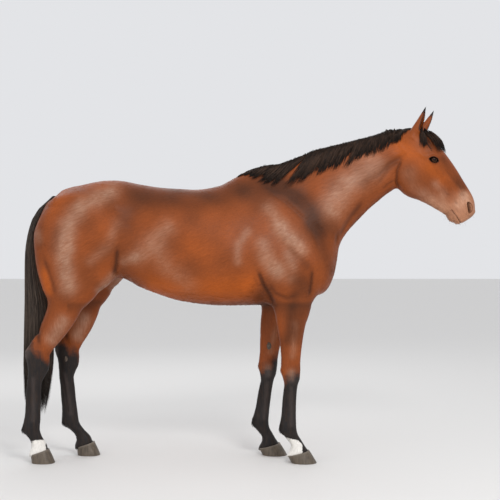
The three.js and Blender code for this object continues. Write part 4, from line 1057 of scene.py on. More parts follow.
def unwrap(p):
    """Places on a flat map of the skin: trunk, neck and head round their own axes, each leg round its own."""
    x, y, z = p.T
    # The map's left part holds trunk, neck and head. Four strips at its right hold the legs.
    trunk_height, rear_end, full_length, head_length = 1250, -1320, 2680, 560
    turn = np.arctan2(y, z - trunk_height) / (2 * math.pi) + 0.5
    along = (x - rear_end) / full_length
    on_head = x > 1000
    head_t, head_up = HEAD.local(x, z)
    turn = np.where(on_head, np.arctan2(y, head_up) / (2 * math.pi) + 0.5, turn)
    u = 0.02 + 0.56 * np.where(on_head, 0.86 + 0.14 * np.clip(head_t / head_length, 0, 1), along)
    v = 0.02 + 0.96 * turn
    for number, (pair, side) in enumerate((p, s) for p in LEGS for s in SIDES):
        own = (z < 880) & (side * y > 0) & ((x > LOIN_X) == (pair == "fore"))
        rear, front = LEGS[pair][side].edges(z[own])
        around = np.arctan2(y[own] - side * HOOF_Y, x[own] - (rear + front) / 2) / (2 * math.pi) + 0.5
        u[own] = 0.61 + 0.38 * np.clip(z[own] / 900, 0, 1)
        v[own] = 0.02 + 0.24 * number + 0.22 * around
    return np.stack([u, v], 1)


PATCH = 0.003  # each lock's place on the flat map is this wide


def lock_mesh(name, paths, half_widths, half_depths, outward, sides=4, as_skin=0.0):
    """One mesh of closed, tapering locks, and how many vertices each has.

    `paths` is locks x steps x 3, in mm. `as_skin` turns the shading towards the skin's, so that small tufts
    don't stand out from it.
    """
    count, steps = paths.shape[:2]
    rings = steps - 1
    ahead = unit(np.gradient(paths, axis=1))
    across = unit(np.cross(ahead, outward))
    out = np.cross(across, ahead)
    angle = np.arange(sides) * 2 * math.pi / sides + (math.pi / 2 if sides == 3 else 0)
    c, s = np.cos(angle)[:, None], np.sin(angle)[:, None]
    body = paths[:, :rings, None] + across[:, :rings, None] * c * half_widths[:, :rings, None, None]
    body = body + out[:, :rings, None] * s * half_depths[:, :rings, None, None]
    vertices = np.concatenate([body.reshape(count, -1, 3), paths[:, -1:]], 1)
    each = rings * sides + 1

    ring, k = np.meshgrid(np.arange(rings - 1), np.arange(sides), indexing="ij")
    a, b = (ring * sides + k).ravel(), (ring * sides + (k + 1) % sides).ravel()
    walls = np.concatenate([np.stack([a, b, b + sides], 1), np.stack([a, b + sides, a + sides], 1)])
    k = np.arange(sides)
    last = (rings - 1) * sides
    tip = np.stack([last + k, last + (k + 1) % sides, np.full(sides, each - 1)], 1)
    base = np.stack([np.zeros(sides - 2, int), np.arange(2, sides), np.arange(1, sides - 1)], 1)
    one = np.concatenate([walls, tip, base])
    a, b, c = vertices[0][one].transpose(1, 0, 2)
    if (np.cross(a, b) * c).sum() < 0:
        one = one[:, ::-1]
    faces = (one[None] + each * np.arange(count)[:, None, None]).reshape(-1, 3)
    piece = mesh_object(name, placed(vertices.reshape(-1, 3)), faces)

    spread = np.concatenate([np.tile(np.cos(angle + 0.4), rings), [0.3]])
    rise = np.repeat(np.linspace(-1, 0.8, rings), sides) + np.tile(0.1 * np.sin(angle), rings)
    patch = PATCH / 2 * np.stack([spread, np.concatenate([rise, [1]])], 1)
    uv = (unwrap(paths[:, 0])[:, None] + patch[None]).reshape(-1, 2)
    layer = piece.data.uv_layers.new(name="OFBake")
    layer.data.foreach_set("uv", np.asarray(uv[faces.ravel()], np.float32).ravel())
    if as_skin:
        own = np.zeros(3 * len(piece.data.vertices), np.float32)
        piece.data.vertices.foreach_get("normal", own)
        skin_ward = np.repeat(outward[:, :1], each, 1).reshape(-1, 3)
        shade = unit((1 - as_skin) * own.reshape(-1, 3) + as_skin * skin_ward)
        piece.data.normals_split_custom_set_from_vertices(shade)
    return piece, each


def flow(p, aim):
    """A unit direction along the skin at p, as near `aim` as it can be, and the skin's outward slope."""
    slope = unit(slope_of(p, 1.5))
    along = aim - slope * (aim * slope).sum(1, keepdims=True)
    return unit(along), slope


def combed(roots, aim, lengths, heights, steps, swing=None, climb=6):
    """Paths that start at `roots` and lie along the skin at `heights` (mm above it) towards `aim`.

    A step rises or falls by no more than `climb`.
    """
    p = roots
    paths, outs = [p], []
    for i in range(1, steps):
        way, slope = flow(p, aim if swing is None else aim + swing * (i / steps))
        outs.append(slope)
        p = p + way * (lengths / (steps - 1))[:, None]
        gap = flesh(*p.T) + COAT - heights[:, i]
        p = p - slope * np.clip(gap, -climb, climb)[:, None]
        paths.append(p)
    outs.append(outs[-1])
    return np.stack(paths, 1), np.stack(outs, 1)


def strand_colours(piece, each, own, steps, sides=4):
    """The attribute that strand materials read: the lock's own share of brown, and how far along it is."""
    values = np.ones((len(own), each, 4))
    values[:, :, 0] = own[:, None]
    values[:, :, 1] = np.concatenate([np.repeat(np.linspace(0, 1, steps)[:-1], sides), [1.0]])
    give(piece, "strand", values.reshape(-1, 4))


def hair_mesh(name, paths, width, depth_share, out, own):
    """A piece of long hair: its locks are as wide as `width` says, and flatter by `depth_share`."""
    piece, each = lock_mesh(name, paths, width, depth_share * width, out)
    strand_colours(piece, each, own, paths.shape[1])
    return piece


def taper(steps, full=0.25, end=0.12):
    """A lock's width along it, as a share: thin at the root, full soon, then narrowing to its tip."""
    s = np.linspace(0, 1, steps)
    return np.clip(0.55 + s / full * 0.45, 0, 1) * (1 - (1 - end) * ramp(s, 0.35, 1.0))


CREST = Curve([[-40, 1616], [21, 1648], [119, 1674], [172, 1680], [237, 1701], [322, 1739], [381, 1765],
               [452, 1779], [531, 1798], [628, 1822], [708, 1841], [774, 1862], [839, 1889], [885, 1878],
               [935, 1858]])
# The mane's ragged groups: the first and last root, and at both how far the hair hangs and how far it leans.
MANE_GROUPS = [(-36, 335, (12, 158), (1.7, 1.3)), (343, 630, (184, 136), (1.05, 0.72)),
               (634, 778, (156, 122), (0.8, 0.72)), (782, 934, (138, 46), (0.76, 0.68))]


def clumps(count, start, end, number, draw):
    """For each of `count` roots along a line: where it is, and its clump's middle and two random shares."""
    at = np.sort(draw.uniform(start, end, count))
    middles = np.sort(draw.uniform(start, end, number))
    own = np.abs(at[:, None] - middles[None]).argmin(1)
    return at, middles[own], draw.uniform(0, 1, number)[own], draw.uniform(0, 1, number)[own]


def mane_group(start, end, drops, leans, count, under, draw):
    """The paths of one group's locks: up out of the crest, over it, and down the right side of the neck."""
    steps = 13
    clump_width = 23
    number = max(int((end - start) / clump_width), 3)
    at, middle, long_share, lean_share = clumps(count, start, end, number, draw)
    place = (at - start) / (end - start)
    y = draw.uniform(-14, 12, count)
    roots = on_skin(np.stack([at, y, CREST(at) + 8], 1), 6, 12.0)
    lean = (leans[0] + (leans[1] - leans[0]) * place) * (0.85 + 0.3 * lean_share)
    lean = lean + 0.09 * draw.normal(size=count)
    aim = np.stack([-lean, np.full(count, -1.15), np.full(count, -1.0)], 1)
    gather = (middle - at) / 90 + 0.2
    swing = np.stack([gather, np.zeros(count), np.zeros(count)], 1)
    drop = drops[0] + (drops[1] - drops[0]) * place
    ends = np.clip(np.minimum(place / 0.04, (1 - place) / 0.15), 0, 1)  # a group's outer locks are shorter
    lengths = (drop * np.hypot(1, lean) + 14 - y * 0.6) * (0.6 + 0.4 * ends)
    lengths = lengths * (0.74 + 0.34 * long_share) * (1 - 0.3 * draw.uniform(0, 1, count) ** 2.5)
    lengths = lengths * (0.88 if under else 1)
    # A lock stands up from the crest as an arch that reaches `over` it, then lies on the neck at `lift`.
    s = np.linspace(0, 1, steps)
    body = np.clip((at + 50) / 130, 0.3, 1) * np.clip((950 - at) / 40, 0.6, 1)
    lift = (2 + 4 * draw.uniform(0, 1, count)) if under else (5 + 8 * draw.uniform(0, 1, count) ** 0.8)
    shape = np.clip(s / 0.16, 0, 1) ** 0.7 * (1 - 0.62 * ramp(s, 0.5, 1))
    over = np.clip(CREST(at) - roots[:, 2], 4, 52) * (0.9 + 0.2 * long_share + 0.08 * draw.normal(size=count))
    over = over * draw.uniform(0.3, 1, count) ** 0.4 * (0.7 if under else 1)
    arch = np.clip(s / 0.05, 0, 1) * (1 - ramp(s, 0.08, 0.5))
    heights = np.maximum(body[:, None] * lift[:, None] * shape, over[:, None] * arch)
    heights = heights + 0.8 * np.sin(s * 9 + draw.uniform(0, 6.3, count)[:, None]) * shape
    paths, out = combed(roots, aim, lengths, heights, steps, swing, 24)
    sway = np.sin(s * 5.5 + 6.3 * long_share[:, None] + draw.uniform(-0.6, 0.6, count)[:, None]) * s * 2.6
    paths[:, :, 0] += sway
    return paths, out, 0.75 * draw.uniform(0, 1, count) + 0.25 * lean_share


def mane(name, count, half_width, half_depth, under, seed):
    """All groups of the mane: an under layer of broad, short locks, or the fine locks over it."""
    draw = np.random.default_rng(seed)
    spans = [end - start for start, end, *_ in MANE_GROUPS]
    counts = [round(count * span / sum(spans)) for span in spans]
    parts = [mane_group(*group, number, under, draw) for group, number in zip(MANE_GROUPS, counts)]
    paths, out, own = (np.concatenate(part) for part in zip(*parts))
    width = half_width * draw.uniform(0.7, 1.25, len(own))[:, None] * taper(paths.shape[1])
    return hair_mesh(name, paths, width, half_depth / half_width, out, own)


def forelock(name, count, seed):
    """Hair that falls from between the ears over the forehead, mostly to the right."""
    draw = np.random.default_rng(seed)
    steps = 12
    number = 13  # of clumps
    y = draw.uniform(-36, 34, count)
    t = draw.uniform(-26, 28, count) - np.abs(y) * 0.2
    middles = np.linspace(-36, 34, number)
    own = np.abs(y[:, None] + draw.normal(size=count)[:, None] * 3 - middles).argmin(1)
    long_share = draw.uniform(0, 1, number)[own]
    # The roots start above the poll, t along the head's axis, and are moved down onto it.
    top = np.stack([930 + 0.543 * t + 0.84 * 115, y, 1800 - 0.84 * t + 0.543 * 115], 1)
    roots = on_skin(top, 8, 16.0)
    fan = np.where(y < 0, 0.021, 0.008) * middles[own] + 0.05 * draw.normal(size=count)
    aim = np.stack([np.full(count, 0.56), fan, np.full(count, -0.84)], 1)
    swing = np.stack([np.zeros(count), (middles[own] - y) / 60 - 0.5 * fan, np.zeros(count)], 1)
    reach = 182 - 0.55 * np.abs(middles[own])
    lengths = (reach - t) * (0.72 + 0.28 * long_share) * (1 - 0.3 * draw.uniform(0, 1, count) ** 2.5)
    s = np.linspace(0, 1, steps)
    at = t[:, None] + lengths[:, None] * s
    thick = 37 - 28 * ramp(at, 80, 184)  # how far the hair stands off the forehead
    share = 0.12 + 0.88 * draw.uniform(0, 1, count)[:, None]
    heights = thick * share * np.clip(s / 0.15, 0, 1) * (1 - 0.5 * (np.abs(roots[:, 1:2]) / 40) ** 2)
    paths, out = combed(roots, aim, lengths, heights, steps, swing, 24)
    width = 1.7 * draw.uniform(0.7, 1.25, count)[:, None] * taper(steps)
    return hair_mesh(name, paths, width, 0.5, out, draw.uniform(0, 1, count))


def side_lock(name, count, seed):
    """The part of the forelock that falls in front of the right ear."""
    draw = np.random.default_rng(seed)
    steps = 12
    start = np.stack([draw.uniform(978, 1008, count), draw.uniform(-44, -26, count), np.full(count, 1880)], 1)
    roots = on_skin(start, 8, 16.0)
    gather = (982 - roots[:, 0]) / 70
    aim = np.stack([gather + draw.normal(0.0, 0.05, count), np.full(count, -0.7), np.full(count, -1.0)], 1)
    lengths = draw.uniform(84, 142, count)
    s = np.linspace(0, 1, steps)
    shape = np.clip(s / 0.2, 0, 1) * (1 - 0.6 * ramp(s, 0.5, 1))
    heights = (3 + 8 * draw.uniform(0, 1, count))[:, None] * shape
    paths, out = combed(roots, aim, lengths, heights, steps)
    width = 1.5 * draw.uniform(0.7, 1.25, count)[:, None] * taper(steps)
    return hair_mesh(name, paths, width, 0.5, out, draw.uniform(0, 1, count))


TAIL = Form(
    axis=[0, 1],
    span=[262, 1462],
    caps=[34, 22],
    lower=flipped([[262, -1150], [330, -1132], [450, -1120], [618, -1112], [732, -1122], [903, -1142],
                   [1000, -1168], [1131, -1190], [1217, -1200], [1302, -1190], [1371, -1165], [1428, -1130],
                   [1470, -1060]]),
    upper=flipped([[262, -1250], [330, -1278], [450, -1279], [618, -1276], [732, -1274], [903, -1270],
                   [1131, -1269], [1217, -1263], [1302, -1247], [1371, -1224], [1428, -1186], [1470, -1138]]),
    width=[[262, 32], [330, 55], [450, 66], [618, 70], [903, 66], [1131, 54], [1302, 42], [1470, 30]],
    power=2.2,
)


def tail(name, count, half_width, depth_share, inner, outer, seed):
    """Locks that hang from the dock inside the tail's own outline, with uneven tips."""
    draw = np.random.default_rng(seed)
    steps = 20
    number = 90  # of clumps
    own = draw.integers(0, number, count)
    angle = draw.uniform(0, 2 * math.pi, number)[own] + draw.normal(size=count) * 0.10
    radius = draw.uniform(inner, outer, count)
    start = draw.uniform(1180, 1496, count)
    end = 230 + 110 * draw.uniform(0, 1, number)[own] ** 1.6 + 190 * draw.uniform(0, 1, count) ** 3
    end = end + 50 * (np.cos(angle) > 0.2) * draw.uniform(0, 1, count)
    s = np.linspace(0, 1, steps)
    z = start[:, None] * (1 - s) + end[:, None] * s
    front, rear = 7 - TAIL.lower(z), -TAIL.upper(z)
    gather = 1 - 0.42 * ramp(s, 0.72, 1.0)[None] * draw.uniform(0.2, 1, number)[own][:, None]
    out_of_dock = 0.45 + 0.55 * ramp(s, 0.0, 0.05)[None]
    near = radius[:, None] * gather * out_of_dock
    wander = 0.05 * np.sin(z / 120 + draw.uniform(0, 6.3, number)[own][:, None])
    across = np.cos(angle[:, None] + wander) * near
    beside = np.sin(angle[:, None] + wander) * near
    x = (front + rear) / 2 + across * (front - rear) / 2
    y = beside * TAIL.width(z) + 2.5 * np.sin(z / 150 + own[:, None]) * s
    paths = np.stack([x, y, z], 2)
    out = np.stack([across, beside, np.zeros_like(x)], 2)
    width = half_width * draw.uniform(0.7, 1.3, count)[:, None] * taper(steps, 0.12)
    brown = 0.6 * draw.uniform(0, 1, count) + 0.4 * draw.uniform(0, 1, number)[own]
    return hair_mesh(name, paths, width, depth_share, unit(out), brown)


# The second colour of each is the locks' own brown, which also serves as their painted highlight.
MANE_HAIR = strand_paint("mane_hair", (0.006, 0.004, 0.003), (0.066, 0.034, 0.020), (-0.6, -0.8),
                         (0.011, 0.007, 0.005))
TAIL_HAIR = strand_paint("tail_hair", (0.018, 0.014, 0.012), (0.140, 0.102, 0.078), (0.0, -1.0),
                         (0.030, 0.022, 0.018))
dress(mane("mane_locks_under", 850, 4.2, 1.4, True, 21), MANE_HAIR, "black_hair", "mane")
dress(mane("mane_locks", 2050, 2.1, 1.0, False, 22), MANE_HAIR, "black_hair")
dress(forelock("forelock_locks", 620, 23), MANE_HAIR, "black_hair", "forelock")
dress(side_lock("forelock_side_locks", 150, 24), MANE_HAIR, "black_hair")
dress(tail("tail_locks_core", 260, 11.0, 0.5, 0.2, 0.72, 25), TAIL_HAIR, "black_hair", "dock")
dress(tail("tail_locks", 1300, 2.6, 0.6, 0.78, 0.97, 26), TAIL_HAIR, "black_hair", "tail")
dress(tail("tail_locks_outer", 1300, 1.7, 0.6, 0.86, 1.0, 27), TAIL_HAIR, "black_hair")


# ------------------------------------------------------------------ hooves and eyes


def sole_height(depth, x, y):
    """The cup of a sole, with its frog towards the heel and the groove down the frog."""
    frog = np.clip((-x + 30) / 90, 0, 1)
    ridge = np.exp(-(y / (5 + 15 * frog)) ** 2) * np.clip(frog * 3, 0, 1)
    groove = 2.5 * np.exp(-(y / 4) ** 2) * np.clip(frog * 2 - 0.6, 0, 1)
    return np.clip(depth - 6.5 * ridge + groove, 0.6, None)


def hoof(pair, side):
    """A hoof: a ringed wall from the ground to the hairline, and a cupped sole with its frog."""
    size = HOOF_SIZES[pair]
    around, levels = 84, 46
    angle = np.arange(around) * 2 * math.pi / around
    c, s = np.cos(angle), np.sin(angle)
    ahead = np.sign(c) * np.abs(c) ** np.where(c < 0, 0.8, 0.95)
    aside = np.sign(s) * np.abs(s) ** 0.9 * (1 + 0.06 * c)
    rings, looks = [], []

    def ring(share, scale, rise=0.0, depth=None, sole=0.0, wave=0.0):
        """One ring of points, at a share of the wall's height and at a scale of its outline there."""
        rear = size["heel"] + (size["top_heel"] - size["heel"]) * share
        front = size["toe"] + (size["top_toe"] - size["toe"]) * share
        half = size["half"] + (size["top_half"] - size["half"]) * share ** 1.1
        middle, reach = (rear + front) / 2, (front - rear) / 2
        x = middle + ahead * (reach * scale + wave)
        y = aside * (half * scale + wave)
        cleft = np.exp(-(y / 8) ** 2) * (c < -0.3) * np.clip(scale, 0, 1)
        x = x + 9 * cleft
        z = share * coronet(size, x) + (rise if depth is None else sole_height(depth, x - middle, y))
        rings.append(np.stack([x + STANCE[pair][side], y + side * HOOF_Y, z], 1))
        looks.append(np.tile([share, sole, 0, 1], (around, 1)))

    for scale, depth in ((0.05, 8.5), (0.35, 8.2), (0.6, 7.2), (0.76, 5.4), (0.84, 3.0), (0.875, 1.0)):
        ring(0, scale, depth=depth, sole=1.0)
    ring(0, 0.9, sole=0.5)
    ring(0, 0.985)
    for share in np.linspace(0.012, 0.985, levels):
        growth_rings = 0.25 * math.sin(share * 44 + 3 * share ** 2)
        hairline_roll = 1.3 * math.exp(-((share - 0.97) / 0.05) ** 2)
        ring(share, 1.0 - 0.006 * (share < 0.02), wave=growth_rings + hairline_roll)
    for scale, rise in ((0.985, 1.6), (0.94, 1.8), (0.88, 0.2), (0.8, -4.0), (0.7, -9.0)):
        ring(1.0, scale, rise)
    points = np.concatenate(rings)
    level, k = np.meshgrid(np.arange(len(rings) - 1), np.arange(around), indexing="ij")
    a, b = (level * around + k).ravel(), (level * around + (k + 1) % around).ravel()
    walls = np.stack([a, b, b + around, a + around], 1)
    ends = [points[:around].mean(0), points[-around:].mean(0)]
    points = np.concatenate([points, ends])
    k = np.arange(around)
    low = np.stack([(k + 1) % around, k, np.full(around, len(points) - 2)], 1)
    base = (len(rings) - 1) * around
    high = np.stack([base + k, base + (k + 1) % around, np.full(around, len(points) - 1)], 1)
    walls = np.concatenate([walls[:, [0, 1, 2]], walls[:, [0, 2, 3]], low, high])
    piece = mesh_object(f"{pair}_horn_{SIDES[side]}", placed(points), walls)
    give(piece, "horn", np.concatenate([*looks, [[0, 0, 0, 1], [0, 0, 0, 1]]]))
    dress(piece, HORN, "hoof_horn", f"{pair}_hoof_{SIDES[side]}")


def ball(rows, around):
    """A unit ball's points, from its pole at +Z to the one at -Z, and its triangles."""
    theta = np.linspace(0, math.pi, rows + 1)[1:-1, None]
    phi = np.arange(around) * 2 * math.pi / around
    rings = np.stack([np.sin(theta) * np.cos(phi), np.sin(theta) * np.sin(phi), np.cos(theta) + 0 * phi], -1)
    points = np.concatenate([[[0, 0, 1]], rings.reshape(-1, 3), [[0, 0, -1]]])
    k = np.arange(around)
    after = (k + 1) % around
    top = np.stack([0 * k, 1 + k, 1 + after], 1)
    row = 1 + around * np.arange(rows - 2)[:, None]
    a, b, c, d = ((row + shift).ravel() for shift in (k, after, k + around, after + around))
    low = 1 + (rows - 2) * around
    bottom = np.stack([low + after, low + k, 0 * k + len(points) - 1], 1)
    return points, np.concatenate([top, np.stack([a, c, d], 1), np.stack([a, d, b], 1), bottom])


def eyeball(side):
    """A ball with a slightly raised cornea, turned outwards and a little ahead."""
    gaze = unit(np.array([0.16, side * 0.98, 0.04]))
    level = unit(np.array([math.cos(-0.24), 0, math.sin(-0.24)]) - gaze * gaze[0] * math.cos(-0.24))
    above = np.cross(level, gaze) * side * -1
    local, faces = ball(40, 64)
    radius = EYE_RADIUS - 0.5 + 0.9 * ramp(local[:, 2:], 0.72, 0.95)
    points = EYE_CENTRE * [1, side, 1] + radius * (local @ np.stack([level, above, gaze]))
    if side == RIGHT:
        faces = faces[:, ::-1]
    piece = mesh_object(f"eyeball_{SIDES[side]}", placed(points), faces)
    give(piece, "gaze", local)
    dress(piece, WET_EYE, "eye", f"eye_{SIDES[side]}")


HORN, WET_EYE, CALLUS = horn_paint(), eye_paint(), callus_paint()
for side in SIDES:
    hoof("fore", side)
    hoof("hind", side)
    eyeball(side)


# ------------------------------------------------------------------ tufts of the coat

corners = shell[quads]
FACE_MIDDLES = corners.mean(1)
FACE_CROSS = np.cross(corners[:, 2] - corners[:, 0], corners[:, 3] - corners[:, 1])
FACE_AREAS = np.linalg.norm(FACE_CROSS, axis=1) / 2
FACE_NORMALS = unit(FACE_CROSS)


def scattered(weight, count, draw):
    """Points on the skin, as thick as `weight` (a value for each face) says, and the skin's normals there."""
    total = np.cumsum(weight * FACE_AREAS)
    chosen = np.searchsorted(total, draw.uniform(0, total[-1], count))
    u, v = draw.uniform(0, 1, (2, count, 1))
    a, b, c, d = corners[chosen].transpose(1, 0, 2)
    return a * (1 - u) * (1 - v) + b * u * (1 - v) + c * u * v + d * (1 - u) * v, FACE_NORMALS[chosen]


def lie_at(p):
    """The hair's direction on the trunk, head and legs."""
    x, y, z = p.T
    head, leg = head_share(x, y, z)[:, None], ramp(z, 1000, 800)[:, None]
    on_trunk, on_head, on_leg = (np.array([aim[0], 0, aim[1]]) for aim in LIES)
    return (on_trunk * (1 - head) + on_head * head) * (1 - leg) + on_leg * leg


class Tufts:
    """Gathers tufts from all zones, then makes them into meshes that wear the skin's own markings."""

    STEPS = 4
    WIDTHS = (0.8, 1.0, 0.7, 0.1)  # along a tuft

    def __init__(self, seed):
        self.draw = np.random.default_rng(seed)
        self.parts = []

    def lay(self, weight, count, length, half_width, lift, aim=None, spread=0.15, curl=0.35):
        """Tufts over a zone. `lift` is how steeply they rise, `curl` how far they bend back to the skin."""
        roots, normals = scattered(weight, count, self.draw)
        way = lie_at(roots) if aim is None else np.broadcast_to(np.array(aim, float), roots.shape)
        way = way + spread * self.draw.normal(size=roots.shape)
        self.sprout(roots, normals, way, length, half_width, lift, curl)

    def sprout(self, roots, normals, way, length, half_width, lift, curl=0.35):
        """Tufts from given roots, each leaning its own way."""
        count = len(roots)
        along = unit(way - normals * (way * normals).sum(1, keepdims=True))
        lengths = self.draw.uniform(*length, count)[:, None, None]
        s = np.linspace(0, 1, self.STEPS)[None, :, None]
        rise = math.tan(lift) * s * (1 - curl * s) * self.draw.uniform(0.6, 1.3, count)[:, None, None]
        paths = roots[:, None] - 0.5 * normals[:, None]
        paths = paths + lengths * (along[:, None] * s + normals[:, None] * rise)
        widths = half_width * self.draw.uniform(0.7, 1.3, count)[:, None] * np.array(self.WIDTHS)
        self.parts.append((paths, widths, np.repeat(normals[:, None], self.STEPS, 1)))

    def grow(self, name, pieces):
        """Makes the meshes, each holding a share of every zone."""
        paths, widths, out = (np.concatenate(part) for part in zip(*self.parts))
        order = self.draw.permutation(len(paths))
        for number, chosen in enumerate(np.array_split(order, pieces), 1):
            piece, each = lock_mesh(f"{name}_{number}", paths[chosen], widths[chosen], 0.45 * widths[chosen],
                                    out[chosen], sides=3, as_skin=0.8)
            found = markings(paths[chosen, 0])
            for key, values in zip(("masks", "weights"), found):
                give(piece, key, np.repeat(values, each, 0))
            dress(piece, BAY_COAT, "bay_coat")


# The zones are weights for the faces of the skin: their middles (fx, fy, fz) and normals (nx, nz) tell them.
fx, fy, fz = FACE_MIDDLES.T
nx, _, nz = FACE_NORMALS.T
head_along, head_above = HEAD.local(fx, fz)
on_head = head_share(fx, fy, fz) * (fz < 1860)
on_leg = ramp(fz, 900, 820)
on_trunk = (1 - on_leg) * (fx < 480) * (fz > 860)
leg_rear = np.zeros_like(fx)  # 1 at a leg's back edge, 0 at its front
above_hoof = fz.copy()  # how far faces are above their hoof's hairline
for pair, size in HOOF_SIZES.items():
    for side, stance in STANCE[pair].items():
        own = ((fx > LOIN_X) == (pair == "fore")) & (side * fy > 0)
        rear, front = LEGS[pair][side].edges(fz[own])
        leg_rear[own] = np.clip(1 - (fx[own] - rear) / (front - rear), 0, 1)
        hairline = coronet(size, np.clip(fx[own] - stance, size["top_heel"], size["top_toe"]))
        above_hoof[own] -= hairline

cover = Tufts(31)
eye_ahead, eye_above, _ = eye_space(fx, fy, fz, np.sign(fy))
round_eye = ramp(np.hypot(eye_ahead, eye_above), 52, 34) * on_head
snout = ramp(head_along, 400, 440) * on_head
body = (fz > 120) * (1 - on_head) * (1 - on_leg * 0.4) * (fz < 1830)
cover.lay(body, 18500, (13, 19), 1.1, 0.07, spread=0.12, curl=0.5)
cover.lay(on_head * (1 - round_eye) * (1 - snout), 2500, (6, 9), 0.55, 0.07, spread=0.1, curl=0.5)
cover.grow("coat_cover", 2)

edge = Tufts(32)
edge.lay(on_head * (nz < -0.6) * (head_along < 400), 1100, (6, 11), 0.7, 0.3)  # under the jaw
edge.lay(on_head * (head_along > 430) * (head_above < -15) * (nz < 0.1), 420, (6, 11), 0.6, 0.6)  # chin
edge.lay((fx > 480) * (fz < 1660) * (nz < -0.55) * (1 - on_head), 1100, (11, 17), 0.9, 0.16)  # throat
coronets = (above_hoof < 7) * (above_hoof > -4)
edge.lay(coronets, 3400, (9, 14), 1.0, 0.12, aim=(0, 0, -1), spread=0.1)
fetlock = (fz > 95) * (fz < 225) * ramp(leg_rear, 0.72, 0.95) * (on_leg > 0)
edge.lay(fetlock, 2100, (12, 25), 0.8, 0.28, aim=(-0.2, 0, -1), curl=0.65)
edge.lay((fz > 225) * (fz < 450) * (leg_rear > 0.86) * on_leg, 1200, (9, 14), 0.6, 0.12)  # tendons
limb = (fz >= 450) * (fz < 900)
edge.lay(limb * (leg_rear > 0.85) * on_leg, 1500, (12, 18), 0.8, 0.14)
edge.lay(limb * (leg_rear < 0.12) * on_leg, 700, (10, 15), 0.8, 0.1)
belly = on_trunk * (nz < -0.75) * (np.abs(fx + 280) < 560)
edge.lay(belly, 2300, (14, 21), 1.1, 0.22, aim=(-1, 0, 0))
edge.lay(on_trunk * ramp(to_path([[60, 980], [110, 900]], fx, fz), 70, 25), 700, (13, 19), 1.1, 0.28)  # elbow
edge.lay(ramp(to_path([[-700, 1040], [-780, 1000]], fx, fz), 60, 20), 700, (13, 20), 1.1, 0.3)  # flank
edge.lay((fx < -1060) * (fz > 880) * (nx < -0.35), 1300, (12, 18), 0.8, 0.15, aim=(-0.2, 0, -1))  # buttocks
edge.lay((fx > 300) * (fx < 520) * (fz > 900) * (fz < 1300) * (nx > 0.6), 1000, (12, 18), 0.9, 0.14)  # chest
edge.lay(on_trunk * (nz > 0.85) * (fx < 40), 1500, (11, 17), 0.7, 0.06, aim=(-1, 0, 0))  # topline
for side, ear in EARS.items():
    own = (fx > 880) & (fz > 1822) & (side * fy > 5)
    share, gap = ear.from_slit(FACE_MIDDLES)
    rim = own * ramp(np.abs(gap), 7, 2) * ramp(share, 0.02, 0.15)
    edge.lay(rim, 900, (6, 10), 0.55, 0.06, aim=ear.up + 0.12 * ear.forward, spread=0.06)
    back = own * (share > 0.1) * (1 - ear.inside(FACE_MIDDLES))
    edge.lay(back, 260, (7, 10), 0.8, 0.15, aim=ear.up, spread=0.1)
    roots, normals = scattered(own * ear.inside(FACE_MIDDLES) * ramp(share, 0.75, 0.4), 260, edge.draw)
    outward = ear.forward * 1.0 + ear.up * 0.9 + 0.25 * edge.draw.normal(size=roots.shape)
    edge.sprout(roots, normals, outward, (10, 20), 0.7, 0.45)
edge.grow("coat_edge", 2)


# ------------------------------------------------------------------ lashes and whiskers

def bristles(name, roots, ways, bends, lengths, half_width):
    """Single stiff hairs, each leaving along its way and bending towards its bend."""
    steps = 7
    s = np.linspace(0, 1, steps)[None, :, None]
    paths = roots[:, None] + lengths[:, None, None] * (ways[:, None] * s + bends[:, None] * s * s)
    widths = np.full((len(roots), 1), half_width) * (1 - 0.85 * np.linspace(0, 1, steps))
    outward = np.broadcast_to(np.array([0.3, 0.2, 1.0]), paths.shape)
    piece, each = lock_mesh(name, paths, widths, widths, unit(outward), sides=3)
    strand_colours(piece, each, np.linspace(0, 1, len(roots)), steps, sides=3)
    dress(piece, LASH_HAIR, "black_hair")


draw = np.random.default_rng(41)
LASH_HAIR = strand_paint("lash_hair", (0.010, 0.008, 0.007), (0.030, 0.018, 0.012), (0.0, -1.0),
                         (0.030, 0.020, 0.015))
lashes = []
for side in SIDES:
    for share in np.linspace(-0.75, 0.8, 46):
        ahead = 24 * share
        above = 15.5 * (1 - share ** 2) + 2.6
        dx = ahead * math.cos(EYE_TILT) - above * math.sin(EYE_TILT)
        dz = above * math.cos(EYE_TILT) + ahead * math.sin(EYE_TILT)
        root = EYE_CENTRE * [1, side, 1] + [dx, side * 24, dz]
        way = [0.35 * share + 0.08 * draw.normal(), side * 1.0, -0.05 + 0.08 * draw.normal()]
        bend = [0.15 * share, 0, -0.35 + 0.1 * draw.normal()]
        lashes.append((root, way, bend, draw.uniform(11, 17) * (1 - 0.4 * abs(share))))
roots, ways, bends, lengths = (np.array(part) for part in zip(*lashes))
bristles("lashes", on_skin(roots, 8, 8.0), ways, bends, lengths, 0.42)

lower_face = on_head * (head_along > 425)
chin = lower_face * (head_above < 10) * 1.0 + lower_face * (head_above < 75) * 0.45
roots, normals = scattered(chin, 64, draw)
bends = np.tile([0.05, 0, -0.4], (len(roots), 1)) + 0.12 * draw.normal(size=roots.shape)
ways = unit(normals + 0.25 * draw.normal(size=roots.shape))
bristles("whiskers", roots, ways, bends, draw.uniform(10, 32, len(roots)), 0.26)


# ------------------------------------------------------------------ chestnuts

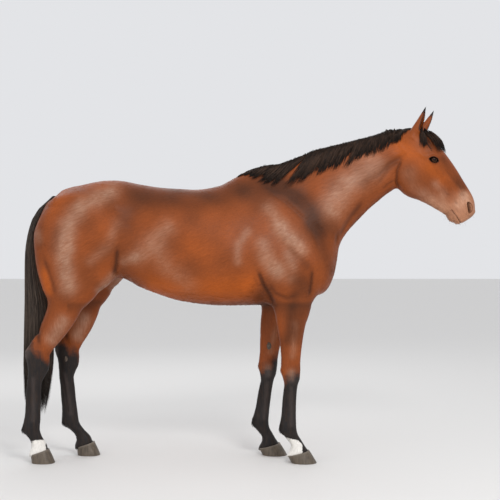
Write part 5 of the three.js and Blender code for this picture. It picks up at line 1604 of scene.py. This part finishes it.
def chestnut(pair, side, height, half_wide, half_tall):
    """A lump of horn on the inner face of a leg."""
    rear, front = LEGS[pair][side].edges(height)
    start = np.array([[(rear + front) / 2 - 10, side * 50.0, height]])
    middle = on_skin(start, 12, 8.0)[0]
    local, faces = ball(24, 40)
    bumpy = 1 + 0.10 * ripple(local * 100, 55, 51)[:, None] + 0.05 * ripple(local * 100, 20, 52)[:, None]
    points = middle + local * bumpy * [half_wide, 5.0, half_tall]
    piece = mesh_object(f"chestnut_{pair}_{SIDES[side]}", placed(points), faces)
    dress(piece, CALLUS, "hoof_horn")


for side in SIDES:
    chestnut("fore", side, 632, 12, 21)
    chestnut("hind", side, 560, 9, 15)


# ------------------------------------------------------------------ floor, light and camera

floor = mesh_object("floor", [[-30, -30, 0], [30, -30, 0], [30, 30, 0], [-30, 30, 0]], [[0, 1, 2, 3]], False)
pale = Paint("floor")
floor.data.materials.append(pale.finish((0.78, 0.77, 0.75, 1), 0.8))

world = bpy.data.worlds.new("studio")
bpy.context.scene.world = world
world.use_nodes = True
sky = world.node_tree.nodes["Background"].inputs
sky["Color"].default_value = (0.96, 0.97, 1.0, 1)
sky["Strength"].default_value = 0.8


def area_light(name, place, target, size, watts):
    """A rectangular light at `place` that faces `target`."""
    light = bpy.data.lights.new(name, "AREA")
    light.shape, light.size, light.size_y, light.energy = "RECTANGLE", size[0], size[1], watts
    lamp = bpy.data.objects.new(name, light)
    lamp.location = place
    lamp.rotation_euler = (Vector(target) - Vector(place)).to_track_quat("-Z", "Y").to_euler()
    bpy.context.scene.collection.objects.link(lamp)


area_light("key", (1.8, -5.0, 4.6), (0, 0, 1.1), (1.8, 1.2), 150)
area_light("fill", (-3.5, -4.5, 2.2), (0, 0, 1.0), (3, 3), 40)
area_light("rim", (-1.5, 4.5, 4.0), (0, 0, 1.2), (4, 2), 40)
bpy.context.scene.view_settings.view_transform = "Standard"

# The camera looks level and square at the horse's right side.
camera = bpy.data.cameras.new("camera")
camera.sensor_width = 36
camera.lens = 82.08
camera.shift_y = -0.02
view_point = bpy.data.objects.new("camera", camera)
view_point.location = (0.0128 + SHIFT[0] * MM, -6.498, 1.245)
view_point.rotation_euler = (math.pi / 2, 0, 0)
bpy.context.scene.collection.objects.link(view_point)
bpy.context.scene.camera = view_point
